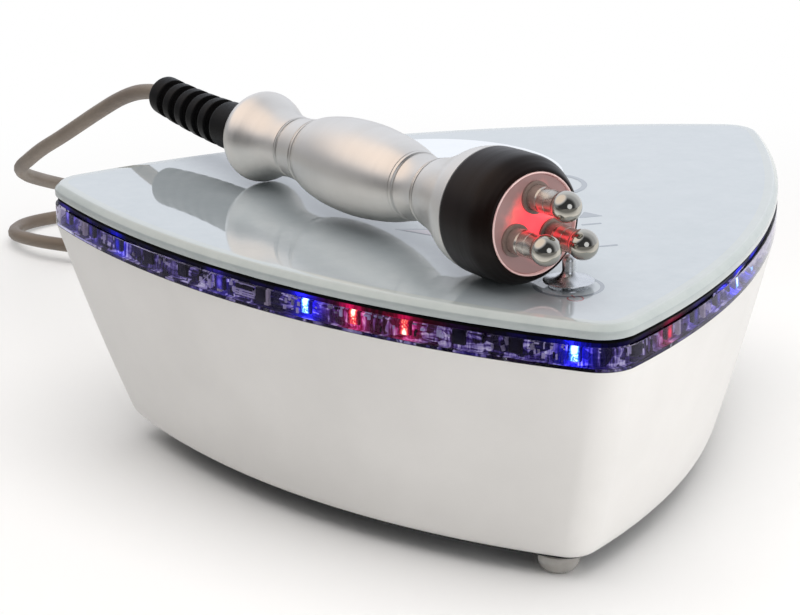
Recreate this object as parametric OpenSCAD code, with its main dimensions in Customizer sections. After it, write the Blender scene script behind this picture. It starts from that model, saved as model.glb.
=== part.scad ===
// Tabletop facial toning console with a three-electrode handpiece.
// Millimetres, +Z up, origin on the table under the middle of the console, front corner towards -Y.

/* [Case] */
// Distance from the centre line to the outside of a side corner
half_width = 150; // [142:1:160]
// Centre of the side corners, measured back from the middle
side_corner_y = 91.4; // [84:0.2:100]
// Centre of the front corner, measured forward from the middle
front_corner_y = 114.4; // [106:0.2:124]
// Radius of the three corners
corner_r = 14.5; // [13:0.5:20]
// Radius of the two bowed front sides
side_bow_r = 366; // [300:1:600]
// Radius of the bowed back
back_bow_r = 428; // [340:1:700]
// Height of the moulded case
case_h = 80.4; // [70:0.2:95]
// Share by which the outline shrinks from top to bottom
case_taper = 0.185; // [0.12:0.005:0.22]
// Rounding of the bottom edge
bottom_round = 6; // [3:0.5:9]
// Wall of the moulded case
case_wall = 2.8; // [2:0.1:3.6]
// Width of the ledge round the top of the case
ledge_w = 11; // [9.5:0.5:12.5]
// Thickness of the ledge
ledge_t = 2.4; // [2:0.1:3]
// Thickness of the steel base plate
base_t = 1.4; // [1:0.1:2.5]

/* [Top stack] */
// Height of the clear light band
band_h = 8.2; // [7:0.1:11]
// Outer wall of the clear light band
band_wall = 2.4; // [1.8:0.1:2.5]
// Floor of the clear light band
band_floor = 1.2; // [0.8:0.1:2]
// Height of the black frame under the glass
frame_h = 2.9; // [2:0.1:4]
// Thickness of the printed film
film_t = 0.3; // [0.2:0.05:0.5]
// Thickness of the glass top
glass_t = 5; // [4:0.5:6]
// Thickness of the circuit boards
board_t = 1.6; // [1:0.1:2]

/* [Feet] */
// Height of a foot
foot_h = 6.6; // [5:0.2:10]
// Radius of a foot
foot_r = 7.6; // [6:0.1:8]
// Radius of the flat that a foot stands on
foot_flat_r = 4.5; // [3.5:0.1:5.5]

/* [Power button] */
// Place of the button left of the centre line
button_left = 0.6; // [0:0.2:4]
// Place of the button in front of the middle
button_front = 85.6; // [85.4:0.2:90]
// Radius of the button's flared skirt
skirt_r = 9; // [6.5:0.1:10]
// Gap between the glass and the skirt
skirt_gap = 1.7; // [1.6:0.1:2.5]
// Radius of the finger post
post_r = 2.35; // [2:0.05:2.6]
// Height of the finger post above the glass
post_h = 11.5; // [9:0.1:12]
// Radius of the button's tube where it passes the glass
tube_r = 5.8; // [5.2:0.1:7]
// How far the button travels
button_travel = 1.2; // [0.8:0.1:1.2]

/* [Handpiece] */
// Place of the handpiece's rear bulb, left of the middle
hand_left = 68.8; // [66:0.2:72]
// Place of the handpiece's rear bulb, behind the middle
hand_back = 69.4; // [69:0.2:74]
// Turn of the handpiece away from straight ahead
hand_turn = 19.35; // [18:0.05:20]
// Gap under the handpiece where it lies on the glass
rest_gap = 0.3; // [0.3:0.05:0.5]
// Largest radius of the rear bulb
bulb_r = 17.8; // [16.5:0.1:18.5]
// Largest radius of the grip
belly_r = 17.7; // [16.5:0.1:19]
// Radius at the two narrow necks
neck_r = 11.7; // [11:0.1:13]
// Largest radius of the black head
head_r = 23; // [22.4:0.1:24]
// Bore through the turned grip pieces, as a radius
grip_bore_r = 7; // [5:0.1:8]
// Wall of the core tube inside the grip
core_wall = 1.5; // [1:0.1:2.5]
// Radius of the opening for the lit face
face_r = 18.2; // [17.6:0.1:18.3]
// Thickness of the lit face
face_t = 4; // [3:0.5:5]
// Radius of the circle that the electrodes stand on
electrode_pitch_r = 9.35; // [8.8:0.05:9.8]
// Radius of an electrode's ball end
ball_r = 5.4; // [5:0.1:5.8]
// Radius of an electrode's rod
rod_r = 4.4; // [3.6:0.1:4.7]
// Distance from the face to the centre of a ball end
ball_reach = 16.15; // [13:0.05:18]
// Length of the ribbed strain relief
relief_l = 62.7; // [60:0.1:63]

/* [Cord and connectors] */
// Diameter of the cord
cord_d = 6.5; // [6:0.1:6.5]
// Radius of the handpiece socket's thread
socket_r = 8; // [7:0.1:9]
// Radial clearance of a piece in its hole
hole_fit = 0.1; // [0.05:0.01:0.1]

/* [Hidden] */
$fn = 64;

// Heights of the stack, from the table up
case_z = foot_h + base_t;
band_z = case_z + case_h;
frame_z = band_z + band_h;
film_z = frame_z + frame_h;
glass_z = film_z + film_t;
top_z = glass_z + glass_t;

// ---- outline of the console ----
side_n = 12;
corner_n = 7;
side_corner = [half_width - corner_r, side_corner_y];
front_corner = [0, -front_corner_y];
side_run = side_corner - front_corner;
side_half = norm(side_run) / 2;
side_c = (side_corner + front_corner) / 2
  + [-side_run[1], side_run[0]] / norm(side_run) * sqrt(pow(side_bow_r - corner_r, 2) - pow(side_half, 2));
back_c = [0, side_corner_y - sqrt(pow(back_bow_r - corner_r, 2) - pow(side_corner[0], 2))];
front_a = atan2(front_corner[1] - side_c[1], front_corner[0] - side_c[0]);
corner_a = atan2(side_corner[1] - side_c[1], side_corner[0] - side_c[0]);
back_a = atan2(side_corner[1] - back_c[1], side_corner[0]);

function arc_pts(c, r, a0, a1, n) =
  [for (i = [0 : n - 1]) c + r * [cos(a0 + (a1 - a0) * i / n), sin(a0 + (a1 - a0) * i / n)]];
// The three-cornered outline, moved inwards by inset
function outline(inset = 0) = concat(
  arc_pts(side_c, side_bow_r - inset, front_a, corner_a, side_n),
  arc_pts(side_corner, corner_r - inset, corner_a, back_a, corner_n),
  arc_pts(back_c, back_bow_r - inset, back_a, 180 - back_a, side_n),
  arc_pts([-side_corner[0], side_corner[1]], corner_r - inset, 180 - back_a, 180 - corner_a, corner_n),
  arc_pts([-side_c[0], side_c[1]], side_bow_r - inset, 180 - corner_a, 180 - front_a, side_n),
  arc_pts(front_corner, corner_r - inset, 180 - front_a, 360 + front_a, corner_n));
module slab(inset, z, h) translate([0, 0, z]) linear_extrude(h) polygon(outline(inset));

// Outline at a height of the case: the walls draw in a little faster near the bottom
back_shift = 2.9;
function case_t(z) = (band_z - z) / case_h;
function case_s(z) = 1 - case_taper * (0.854 * case_t(z) + 0.146 * pow(case_t(z), 2));
function case_ring(z, inset) =
  [for (p = outline(inset)) [p[0] * case_s(z), p[1] * case_s(z) + back_shift * case_t(z), z]];

// Closed skin through rings with equal point counts, given from the bottom up; split makes triangles
module loft(rings, split = false) {
  n = len(rings[0]);
  m = len(rings);
  polyhedron(
    points = [for (r = rings) each r],
    faces = concat(
      [[for (i = [0 : n - 1]) i]],
      [for (j = [0 : m - 2], i = [0 : n - 1])
        let (a = j * n + i, b = a + n, c = (j + 1) * n + (i + 1) % n, d = c - n)
        each split ? [[a, b, c], [a, c, d]] : [[a, b, c, d]]],
      [[for (i = [n - 1 : -1 : 0]) (m - 1) * n + i]]));
}

// Places on the outline: f runs from the front corner (0) to a side corner (1), side is 1 or -1
function side_angle(f) = front_a + (corner_a - front_a) * f;
function back_angle(f) = back_a + (180 - 2 * back_a) * f;
module at_side(f, inset, side) {
  a = side_angle(f);
  translate([side * (side_c[0] + (side_bow_r - inset) * cos(a)), side_c[1] + (side_bow_r - inset) * sin(a)])
    rotate(side > 0 ? a : 180 - a) children();
}
module at_back(f, inset)
  translate(back_c + (back_bow_r - inset) * [cos(back_angle(f)), sin(back_angle(f))])
    rotate(back_angle(f)) children();

// Places of the posts and their screws round the ledge
post_inset = 7.3;
module round_the_ledge() {
  for (side = [-1, 1], f = [0.12, 0.5, 0.88]) at_side(f, post_inset, side) children();
  for (f = [0.15, 0.5, 0.85]) at_back(f, post_inset) children();
}

// Box between two x, two y and two z values
module block(x, y, z) translate([x[0], y[0], z[0]]) cube([x[1] - x[0], y[1] - y[0], z[1] - z[0]]);
// Cylinder towards +Y
module rod_y(p, r, l) translate(p) rotate([-90, 0, 0]) cylinder(r = r, h = l);
// Pan-head screw pointing up, the underside of its head at z = 0
module screw_up(shank_r, l, head_rad, head_t) {
  difference() {
    translate([0, 0, -head_t]) cylinder(r = head_rad, h = head_t);
    translate([-head_rad * 0.6, -0.35, -head_t - 1]) cube([head_rad * 1.2, 0.7, 1.6]);
    translate([-0.35, -head_rad * 0.6, -head_t - 1]) cube([0.7, head_rad * 1.2, 1.6]);
  }
  cylinder(r = shank_r, h = l);
}

// ---- case ----
floor_t = 3;
well_s = 0.66;
pad_x = [-64, 76];
pad_z = [24, 58];
pad_y = 114;
pad_wall = 3;
inlet_x = 44;
socket_x = -42;
port_z = 41;
inlet_body = [29.6, 21.6];
inlet_screw_dx = 20;
base_screw_at = [for (s = [-1, 1]) each
  [[s * 26.5, 48.4 - front_corner_y], [s * (half_width - 53), 34], [s * 45, side_corner_y - 4.4]]];

module case_outer() loft(concat(
  [for (b = [0 : 30 : 60]) case_ring(case_z + bottom_round * (1 - cos(b)), bottom_round * (1 - sin(b)))],
  [for (k = [0 : 4]) case_ring(case_z + bottom_round + (case_h - bottom_round) * k / 4, 0)]));
cavity_z = [case_z + floor_t, case_z + case_h * 0.3, case_z + case_h * 0.62, band_z - ledge_t];
module case_cavity() loft([for (z = cavity_z) case_ring(z, case_wall)]);

// Flat recess in the back wall for the two connectors
pad_boss_y = pad_y - 8;
function grown(range, by) = [range[0] - by, range[1] + by];
module pad_inside() block(pad_x, [pad_y - 30, pad_y - pad_wall], pad_z);
module pad_frame(y_end) block(grown(pad_x, pad_wall), [pad_boss_y, y_end], grown(pad_z, pad_wall));
module back_pad() difference() {
  intersection() {
    case_outer();
    pad_frame(pad_y + 26);
  }
  pad_inside();
}
module pad_boss() difference() {
  pad_frame(pad_y);
  pad_inside();
}
module case_tub() color("white") difference() {
  union() {
    difference() {
      case_outer();
      case_cavity();
      slab(ledge_w, band_z - ledge_t - 1, ledge_t + 2);
      pad_inside();
    }
    back_pad();
    pad_boss();
  }
  block(pad_x, [pad_y, pad_y + 20], pad_z);
  translate([0, 0, case_z - 1]) linear_extrude(floor_t + 2) scale(well_s) polygon(outline(4));
  round_the_ledge() translate([0, 0, band_z - 5]) cylinder(r = 1.6, h = 8);
  for (p = base_screw_at) translate([p[0], p[1], case_z - 1]) cylinder(r = 1.3, h = floor_t + 2);
  block(grown([inlet_x, inlet_x], inlet_body[0] / 2 + hole_fit), [pad_boss_y, pad_y + 8],
    grown([port_z, port_z], inlet_body[1] / 2 + hole_fit));
  for (s = [-1, 1]) rod_y([inlet_x + s * inlet_screw_dx, pad_boss_y, port_z], 1.25, 16);
  rod_y([socket_x, pad_boss_y, port_z], socket_r + hole_fit, 16);
}

board_z = case_z + 7;
main_at = [-38, -48];
main_size = [76, 62];
rf_at = [4, 18];
rf_size = [62, 56];
standoff_at = concat(
  [for (x = [4, main_size[0] - 4], y = [4, main_size[1] - 4]) main_at + [x, y]],
  [for (x = [4, rf_size[0] - 4], y = [4, rf_size[1] - 4]) rf_at + [x, y]]);
module base_plate() color("dimgray") difference() {
  translate([0, 1.5, foot_h]) linear_extrude(base_t) scale(0.775) polygon(outline(3));
  for (p = base_screw_at) translate([p[0], p[1], foot_h - 1]) cylinder(r = 1.7, h = base_t + 2);
  for (p = standoff_at) translate([p[0], p[1], foot_h - 1]) cylinder(r = 1.6, h = base_t + 2);
  for (i = [-4 : 4]) translate([i * 8 - 1.5, -2, foot_h - 1]) cube([3, 16, base_t + 2]);
}
module base_screws() color("silver")
  for (p = base_screw_at) translate([p[0], p[1], foot_h]) screw_up(1.25, base_t + 2.4, 2.6, 1.4);

foot_at = [[-3, -88.4], [96, 66], [-96, 66]];
module rubber_feet() color([0.8, 0.85, 0.85, 0.7])
  for (p = foot_at) translate([p[0], p[1], 0]) rotate_extrude() polygon(concat(
    [[0, 0], [foot_flat_r, 0]],
    [for (a = [20 : 20 : 80]) [foot_flat_r + (foot_r - foot_flat_r) * sin(a), foot_h * 0.72 * (1 - cos(a))]],
    [[foot_r, foot_h * 0.74], [foot_r, foot_h], [0, foot_h]]));

// ---- light band ----
module light_ring() color([0.25, 0.2, 0.45, 0.6]) difference() {
  slab(0, band_z, band_h);
  slab(band_wall, band_z + band_floor, band_h);
  slab(ledge_w, band_z - 1, band_h);
  round_the_ledge() translate([0, 0, band_z - 1]) cylinder(r = 1.7, h = 4);
}
module ring_screws() color("silver")
  round_the_ledge() translate([0, 0, band_z - ledge_t]) screw_up(1.2, ledge_t + 4.4, 2.4, 1.4);
module spacer_posts() color("silver") round_the_ledge() translate([0, 0, band_z + band_floor]) difference() {
  cylinder(r = 2.1, h = band_h - band_floor);
  translate([0, 0, -1]) cylinder(r = 1.25, h = 5.2);
}
strip_inset = 4.2;
strip_t = 0.8;
module led_strip() color("darkslategray") difference() {
  slab(strip_inset, band_z + band_floor, band_h - band_floor);
  slab(strip_inset + strip_t, band_z, band_h + 1);
}

// Lamp packages stand against the strip and face outwards, one every lamp_pitch of a side
lamp_pitch = 0.08;
lamp_start = 0.02;
lamp_n = 12;
blue_left = [0, 5, 7, 10];
blue_right = [4, 5, 9];
red_left = [3, 4];
red_right = [1, 8];
function has(list, i) = len([for (v = list) if (v == i) v]) > 0;
module lamp() translate([-0.7, -2.5, band_z + band_floor + 1]) difference() {
  cube([1.4, 5, 5]);
  translate([1, 2.5, 2.5]) rotate([0, 90, 0]) cylinder(r1 = 1.5, r2 = 1.9, h = 0.6);
}
module lamps_on(list, side)
  for (i = list) at_side(lamp_start + lamp_pitch * i, strip_inset - 0.8, side) lamp();
module blue_leds() color("deepskyblue") {
  lamps_on(blue_left, -1);
  lamps_on(blue_right, 1);
}
module red_leds() color("red") {
  lamps_on(red_left, -1);
  lamps_on(red_right, 1);
}
module violet_leds() color("mediumslateblue") {
  lamps_on([for (i = [0 : lamp_n]) if (!has(blue_left, i) && !has(red_left, i)) i], -1);
  lamps_on([for (i = [0 : lamp_n]) if (!has(blue_right, i) && !has(red_right, i)) i], 1);
  for (i = [0 : 6]) at_back(0.08 + 0.14 * i, strip_inset - 0.8) lamp();
}

// ---- glass, film and touch board ----
button_at = [-button_left, -button_front];
module at_button(z) translate([button_at[0], button_at[1], z]) children();
frame_inset = 1;
module gasket_frame() color("black") difference() {
  slab(frame_inset, frame_z, frame_h);
  slab(ledge_w, frame_z - 1, frame_h + 2);
}
module panel_film() color("lightsteelblue") difference() {
  slab(frame_inset, film_z, film_t);
  at_button(film_z - 1) cylinder(r = tube_r + 0.2, h = film_t + 2);
}
module glass_top() color([0.82, 0.88, 0.9, 0.5]) difference() {
  slab(0, glass_z, glass_t);
  at_button(glass_z - 1) cylinder(r = tube_r + 0.2, h = glass_t + 2);
}
touch_size = [124, 100];
touch_y = 20;
touch_hole_inset = 5;
module touch_board() color("darkgreen") difference() {
  translate([-touch_size[0] / 2, touch_y - touch_size[1] / 2, film_z - board_t])
    cube([touch_size[0], touch_size[1], board_t]);
  for (sx = [-1, 1], sy = [-1, 1])
    translate([0, touch_y, film_z - board_t - 1])
      translate([sx * (touch_size[0] / 2 - touch_hole_inset), sy * (touch_size[1] / 2 - touch_hole_inset)])
        cylinder(r = 1.6, h = board_t + 2);
}
// Flat lead from the touch board down to the main board
module flat_cable() color("whitesmoke") translate([-8, touch_y - touch_size[1] / 2 - 6, 0]) {
  translate([0, 0, part_z]) cube([16, 6, 4]);
  translate([1, 2.6, part_z + 4]) cube([14, 0.8, film_z - board_t - part_z - 4.8]);
  translate([1, 2.6, film_z - board_t - 0.8]) cube([14, 9, 0.8]);
}

// ---- power button ----
tube_bottom_z = glass_z - 9.8;
stem_r = 2.3;
stop_z = tube_bottom_z + 8;
collar_r = 3.3;
collar_t = 1.5;
module button_bezel() color("silver") at_button(0) difference() {
  union() {
    translate([0, 0, top_z]) cylinder(r = tube_r + 1.2, h = 0.3);
    translate([0, 0, tube_bottom_z]) cylinder(r = tube_r, h = top_z - tube_bottom_z + 0.1);
  }
  translate([0, 0, tube_bottom_z - 1]) cylinder(r = stem_r + hole_fit, h = 30);
  translate([0, 0, tube_bottom_z - 1]) cylinder(r = collar_r + 0.2, h = stop_z - tube_bottom_z + 1);
}
// Chrome cap: a thin finger post that flares into a round skirt, with a stem and collar under it
skirt_z = top_z + skirt_gap;
flare_h = 3.6;
module power_button() color("silver") at_button(0) {
  translate([0, 0, skirt_z]) rotate_extrude() polygon(concat(
    [[0, 0], [skirt_r - 0.4, 0], [skirt_r, 0.35]],
    [for (k = [0 : 7]) let (a = 90 * k / 7)
      [skirt_r - 0.2 - (skirt_r - 0.2 - post_r) * sin(a), 0.7 + flare_h * (1 - cos(a))]],
    [for (a = [0 : 15 : 90]) [post_r * cos(a), post_h - skirt_gap - post_r * (1 - sin(a))]]));
  translate([0, 0, tube_bottom_z + button_travel + 0.1])
    cylinder(r = stem_r, h = skirt_z + 0.2 - tube_bottom_z - button_travel - 0.1);
  translate([0, 0, stop_z - 0.1 - collar_t]) cylinder(r = collar_r, h = collar_t);
}
// Coil spring drawn as a stack of rings, from the switch to the collar
spring_h = stop_z - 0.1 - collar_t - tube_bottom_z;
wire_r = 0.35;
module button_spring() color("gray") at_button(tube_bottom_z)
  for (k = [0 : 4]) translate([0, 0, wire_r + (spring_h - 2 * wire_r) * k / 4])
    rotate_extrude() translate([collar_r - 0.45, 0]) circle(r = wire_r, $fn = 16);
nut_t = 3;
module button_nut() color("silver") at_button(film_z - nut_t) difference() {
  cylinder(r = tube_r + 3.4, h = nut_t, $fn = 6);
  translate([0, 0, -1]) cylinder(r = tube_r + 0.02, h = nut_t + 2);
}
switch_size = [16, 12, 12];
module button_switch() color("black") at_button(tube_bottom_z - switch_size[2])
  translate([-switch_size[0] / 2, -switch_size[1] / 2, 0]) cube(switch_size);
module switch_terminals() color("goldenrod") at_button(tube_bottom_z - switch_size[2] - 5)
  for (x = [-6 : 4 : 6]) translate([x - 1.2, -0.4, 0]) cube([2.4, 0.8, 5]);

// ---- electronics on the base plate ----
part_z = board_z + board_t;
module standoffs() color("silver") for (p = standoff_at) translate([p[0], p[1], foot_h]) difference() {
  union() {
    translate([0, 0, base_t]) cylinder(r = 2.8, h = board_z - case_z, $fn = 6);
    cylinder(r = 1.5, h = base_t + 1);
  }
  translate([0, 0, board_z - foot_h - 4]) cylinder(r = 1.25, h = 5);
}
module board(at, size) difference() {
  translate([at[0], at[1], board_z]) cube([size[0], size[1], board_t]);
  for (x = [4, size[0] - 4], y = [4, size[1] - 4])
    translate([at[0] + x, at[1] + y, board_z - 1]) cylinder(r = 1.6, h = board_t + 2);
}
module main_board() color("darkgreen") board(main_at, main_size);
module rf_board() color("seagreen") board(rf_at, rf_size);
module board_screws() color("silver") for (p = standoff_at) translate([p[0], p[1], part_z]) rotate([180, 0, 0])
  screw_up(1.2, board_t + 2.5, 2.5, 1.5);
module board_chips() color("black")
  for (c = [[-20, -30, 18, 14, 2.4], [10, -36, 12, 9, 2], [16, -8, 14, 5, 3], [-36, -14, 10, 6, 3]])
    translate([c[0], c[1], part_z]) cube([c[2], c[3], c[4]]);
module capacitors() color("navy")
  for (c = [[29, -22, 6.5, 18], [-2, -6, 5, 14], [-24, 0, 4, 11], [14, 33, 5, 13], [14, 46, 5, 13]])
    translate([c[0], c[1], part_z]) difference() {
      cylinder(r = c[2], h = c[3]);
      translate([0, 0, 1.8]) rotate_extrude() translate([c[2] + 0.5, 0]) circle(r = 0.9, $fn = 24);
    }
module rf_transformer() color("orange") translate([44, 38, part_z]) difference() {
  translate([0, 0, 6.4]) rotate_extrude() translate([9, 0]) circle(r = 6.9, $fn = 32);
  translate([0, 0, -20]) cylinder(r = 30, h = 20);
}
fin_pitch = 2.2;
module heat_sink() color("gray") translate([24, 58, part_z]) rotate([90, 0, 90]) linear_extrude(32)
  polygon(concat([[0, 0], [14, 0]],
    [for (k = [6 : -1 : 0]) each
      [[k * fin_pitch + 0.8, 3], [k * fin_pitch + 0.8, 16], [k * fin_pitch, 16], [k * fin_pitch, 3]]]));
supply_at = [-62, 22];
module power_supply() color("lightgray") translate([supply_at[0], supply_at[1], case_z]) {
  cube([58, 44, 4.5]);
  translate([6, 5, 4.5]) cube([24, 20, 20]);
  translate([43, 13, 4.5]) cylinder(r = 8, h = 18);
  translate([36, 28, 4.5]) cube([16, 11, 12]);
}
module supply_terminals() color("green") translate([supply_at[0] + 4, supply_at[1] + 32, case_z + 4.5])
  difference() {
    cube([26, 9, 11]);
    for (k = [0 : 4]) translate([3 + 5 * k, 4.5, 6]) cylinder(r = 1.7, h = 6);
  }

// ---- connectors on the back ----
inlet_plate = [50, 27.6, 2.6];
inlet_hole = [26.4, 18.4];
inlet_depth = 17;
pin_at = [[-7, -2], [0, 2], [7, -2]];
module on_inlet() translate([inlet_x, pad_y + inlet_plate[2], port_z]) rotate([90, 0, 0]) children();
module mains_inlet() color("black") on_inlet() difference() {
  union() {
    linear_extrude(inlet_plate[2]) difference() {
      square([inlet_plate[0], inlet_plate[1]], center = true);
      for (s = [-1, 1]) translate([s * inlet_screw_dx, 0]) circle(r = 1.6);
    }
    linear_extrude(inlet_plate[2] + 24) square(inlet_body, center = true);
  }
  translate([0, 0, -1]) linear_extrude(inlet_depth + 1) polygon([for (c = [[-1, -1, 0, 0], [1, -1, 0, 0],
    [1, 1, 0, -3.2], [1, 1, -3.2, 0], [-1, 1, 3.2, 0], [-1, 1, 0, -3.2]])
    [c[0] * inlet_hole[0] / 2 + c[2], c[1] * inlet_hole[1] / 2 + c[3]]]);
  for (p = pin_at) translate([p[0] - 1, p[1] - 2, inlet_depth - 1]) cube([2, 4, 40]);
}
module inlet_pins() color("silver") on_inlet()
  for (p = pin_at) translate([p[0] - 1, p[1] - 2, 3]) cube([2, 4, 30]);
module inlet_screws() color("silver") for (s = [-1, 1])
  translate([inlet_x + s * inlet_screw_dx, pad_y + inlet_plate[2], port_z]) rotate([90, 0, 0])
    screw_up(1.2, inlet_plate[2] + 6, 2.7, 1.4);

socket_reach = 9;
contact_at = [for (a = [0 : 60 : 300]) 3.2 * [cos(a), sin(a)]];
module on_socket(dy) translate([socket_x, pad_y + dy, port_z]) rotate([-90, 0, 0]) children();
module handpiece_socket() color("silver") on_socket(0) difference() {
  union() {
    translate([0, 0, -10]) cylinder(r = socket_r, h = 10 + socket_reach);
    cylinder(r = socket_r + 2.4, h = 1.6);
  }
  translate([0, 0, 1]) cylinder(r = socket_r - 2, h = socket_reach);
  for (p = contact_at) translate([p[0], p[1], -20]) cylinder(r = 0.8, h = 30);
}
module socket_nut() color("silver") on_socket(-pad_wall - 2.5) difference() {
  cylinder(r = socket_r + 3.2, h = 2.5, $fn = 6);
  translate([0, 0, -1]) cylinder(r = socket_r + 0.02, h = 5);
}
module socket_contacts() color("gold") on_socket(-13)
  for (p = contact_at) translate([p[0], p[1], 0]) cylinder(r = 0.78, h = 18);

// ---- handpiece: every piece is turned about one axis, u runs from the rear bulb to the face ----
rear_u = -16.3;
bulb_u = -3.8;
bulb_end = 21.2;
ring1_end = 35.5;
belly_end = 97.8;
ring2_end = 112.6;
head_u = 141.9;
head_max_u = 148.9;
face_u = 166;
hand_tilt = asin((head_r - bulb_r) / (head_max_u - bulb_u));
hand_z = top_z + rest_gap + bulb_r * cos(hand_tilt) - bulb_u * sin(hand_tilt);
module on_hand()
  translate([-hand_left, hand_back, hand_z]) rotate([0, 90 - hand_tilt, hand_turn - 90]) children();

// Smooth curve through the points, n steps between each two
function spline_pt(a, b, c, d, t) =
  0.5 * (2 * b + (c - a) * t + (2 * a - 5 * b + 4 * c - d) * t * t + (3 * b - a - 3 * c + d) * t * t * t);
function spline(p, n) = concat(
  [for (i = [0 : len(p) - 2], k = [0 : n - 1])
    spline_pt(i > 0 ? p[i - 1] : 2 * p[0] - p[1], p[i], p[i + 1],
      i < len(p) - 2 ? p[i + 2] : 2 * p[i + 1] - p[i], k / n)],
  [p[len(p) - 1]]);

// Turned ring with a bore: the outside is a smooth curve through [u, r] points, and broken edges make the
// part lines
edge = 0.45;
module turned(pts, bore, n = 3) {
  c = spline(pts, n);
  last = len(c) - 1;
  rotate_extrude() polygon(concat(
    [[bore, c[0][0]], [c[0][1] - edge, c[0][0]], [c[0][1], c[0][0] + edge]],
    [for (i = [1 : last - 1]) [c[i][1], c[i][0]]],
    [[c[last][1], c[last][0] - edge], [c[last][1] - edge, c[last][0]], [bore, c[last][0]]]));
}
function scaled(pts, r) = [for (p = pts) [p[0], p[1] * r]];
bulb_pts = scaled([[rear_u, 0.579], [-14.3, 0.652], [-11.5, 0.753], [-7.7, 0.904], [bulb_u, 1], [0, 0.966],
  [4.8, 0.854], [9.6, 0.758], [14.3, 0.702], [bulb_end, 0.663]], bulb_r);
ring1_pts = scaled([[bulb_end, 1.009], [25, 1.026], [31, 1.085], [ring1_end, 1.162]], neck_r);
belly_pts = scaled([[ring1_end, 0.768], [40.2, 0.864], [49.7, 0.960], [59.3, 1], [68.9, 1], [78.4, 0.955],
  [88, 0.876], [belly_end, 0.734]], belly_r);
ring2_pts = scaled([[belly_end, 1.111], [101.5, 1.026], [105.2, 1], [109, 1.026], [ring2_end, 1.12]], neck_r);
collar_pts = scaled([[ring2_end, 0.57], [118.6, 0.63], [126.3, 0.757], [133.9, 0.913], [138, 0.962],
  [head_u, 0.991]], head_r);
head_pts = scaled([[head_u, 0.991], [head_max_u, 1], [153, 1], [158.8, 0.991], [162.6, 0.926], [164.6, 0.874],
  [face_u, 0.831]], head_r);
module rear_bulb() color("silver") on_hand() difference() {
  turned(bulb_pts, grip_bore_r);
  translate([0, 0, rear_u - 1]) cylinder(r = relief_r0 - 1.4, h = 4.6);
}
module rear_ring() color("silver") on_hand() turned(ring1_pts, grip_bore_r);
module grip_barrel() color("silver") on_hand() turned(belly_pts, grip_bore_r);
module front_ring() color("silver") on_hand() turned(ring2_pts, grip_bore_r);
module front_collar() color("silver") on_hand() turned(collar_pts, grip_bore_r);

// Threaded tube that holds the turned pieces together
core_back_u = -8;
core_front_u = head_u + 4;
module barrel_core() color("gray") on_hand() translate([0, 0, core_back_u]) difference() {
  cylinder(r = grip_bore_r - 0.02, h = core_front_u - core_back_u);
  translate([0, 0, -1]) cylinder(r = grip_bore_r - core_wall, h = core_front_u - core_back_u + 2);
}

face_z = face_u - 0.6;
face_back_u = face_z - face_t;
cup_r = face_r - 0.8;
cup_u = head_u + 2.5;
rim_w = 0.7;
module head_shell() color("black") on_hand() difference() {
  turned(head_pts, grip_bore_r);
  translate([0, 0, cup_u]) cylinder(r = cup_r, h = 40);
  translate([0, 0, face_back_u]) cylinder(r = face_r, h = 40);
}
module face_rim() color("mistyrose") on_hand() translate([0, 0, face_back_u]) difference() {
  cylinder(r = face_r - 0.02, h = face_u + 0.3 - face_back_u);
  translate([0, 0, -1]) cylinder(r = face_r - rim_w, h = 20);
}
electrode_turn = 177;
stud_r = 2.6;
module at_electrodes() for (k = [0 : 2])
  rotate(electrode_turn + 120 * k) translate([electrode_pitch_r, 0, 0]) children();
module face_plate() color([1, 0.75, 0.75, 0.8]) on_hand() difference() {
  translate([0, 0, face_back_u]) cylinder(r = face_r - rim_w - 0.02, h = face_t);
  at_electrodes() translate([0, 0, face_back_u - 1]) cylinder(r = stud_r + hole_fit, h = face_t + 2);
}
sleeve_t = 1;
module electrode_sleeves() color("dimgray") on_hand() at_electrodes() translate([0, 0, face_z]) difference() {
  cylinder(r = ball_r + 0.4, h = sleeve_t);
  translate([0, 0, -1]) cylinder(r = stud_r + hole_fit, h = 3);
}
// Turned electrode: threaded stud, collar, rod and ball end in one piece
collar_end = face_u + 6;
ball_u = face_u + ball_reach;
module electrodes() color("lightgray") on_hand() at_electrodes() {
  rotate_extrude() polygon([[0, face_back_u - 5], [stud_r - 0.4, face_back_u - 5], [stud_r, face_back_u - 4.6],
    [stud_r, face_z + sleeve_t], [ball_r - 0.5, face_z + sleeve_t], [ball_r - 0.3, face_z + sleeve_t + 0.2],
    [ball_r - 0.3, collar_end], [rod_r, collar_end + 0.5], [rod_r, ball_u - 4.9], [rod_r - 0.2, ball_u - 4.7],
    [rod_r - 0.2, ball_u - 4.5], [rod_r, ball_u - 4.3], [rod_r, ball_u], [0, ball_u]]);
  translate([0, 0, ball_u]) sphere(r = ball_r);
}
stud_nut_t = 2.6;
module electrode_nuts() color("silver") on_hand() at_electrodes()
  translate([0, 0, face_back_u - stud_nut_t]) difference() {
    cylinder(r = stud_r + 2.2, h = stud_nut_t, $fn = 6);
    translate([0, 0, -1]) cylinder(r = stud_r + 0.02, h = stud_nut_t + 2);
  }
lamp_u = face_back_u - 8;
module head_sleeve() color("ivory") on_hand() translate([0, 0, cup_u]) difference() {
  cylinder(r = cup_r - 0.05, h = lamp_u - cup_u);
  translate([0, 0, 1.5]) cylinder(r = cup_r - 1.6, h = 40);
  translate([0, 0, -1]) cylinder(r = grip_bore_r + 0.1, h = 5);
}
module lamp_board() color("white") on_hand() translate([0, 0, lamp_u]) difference() {
  cylinder(r = cup_r - 0.1, h = board_t);
  at_electrodes() translate([0, 0, -1]) cylinder(r = 1.2, h = 4);
}
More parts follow.
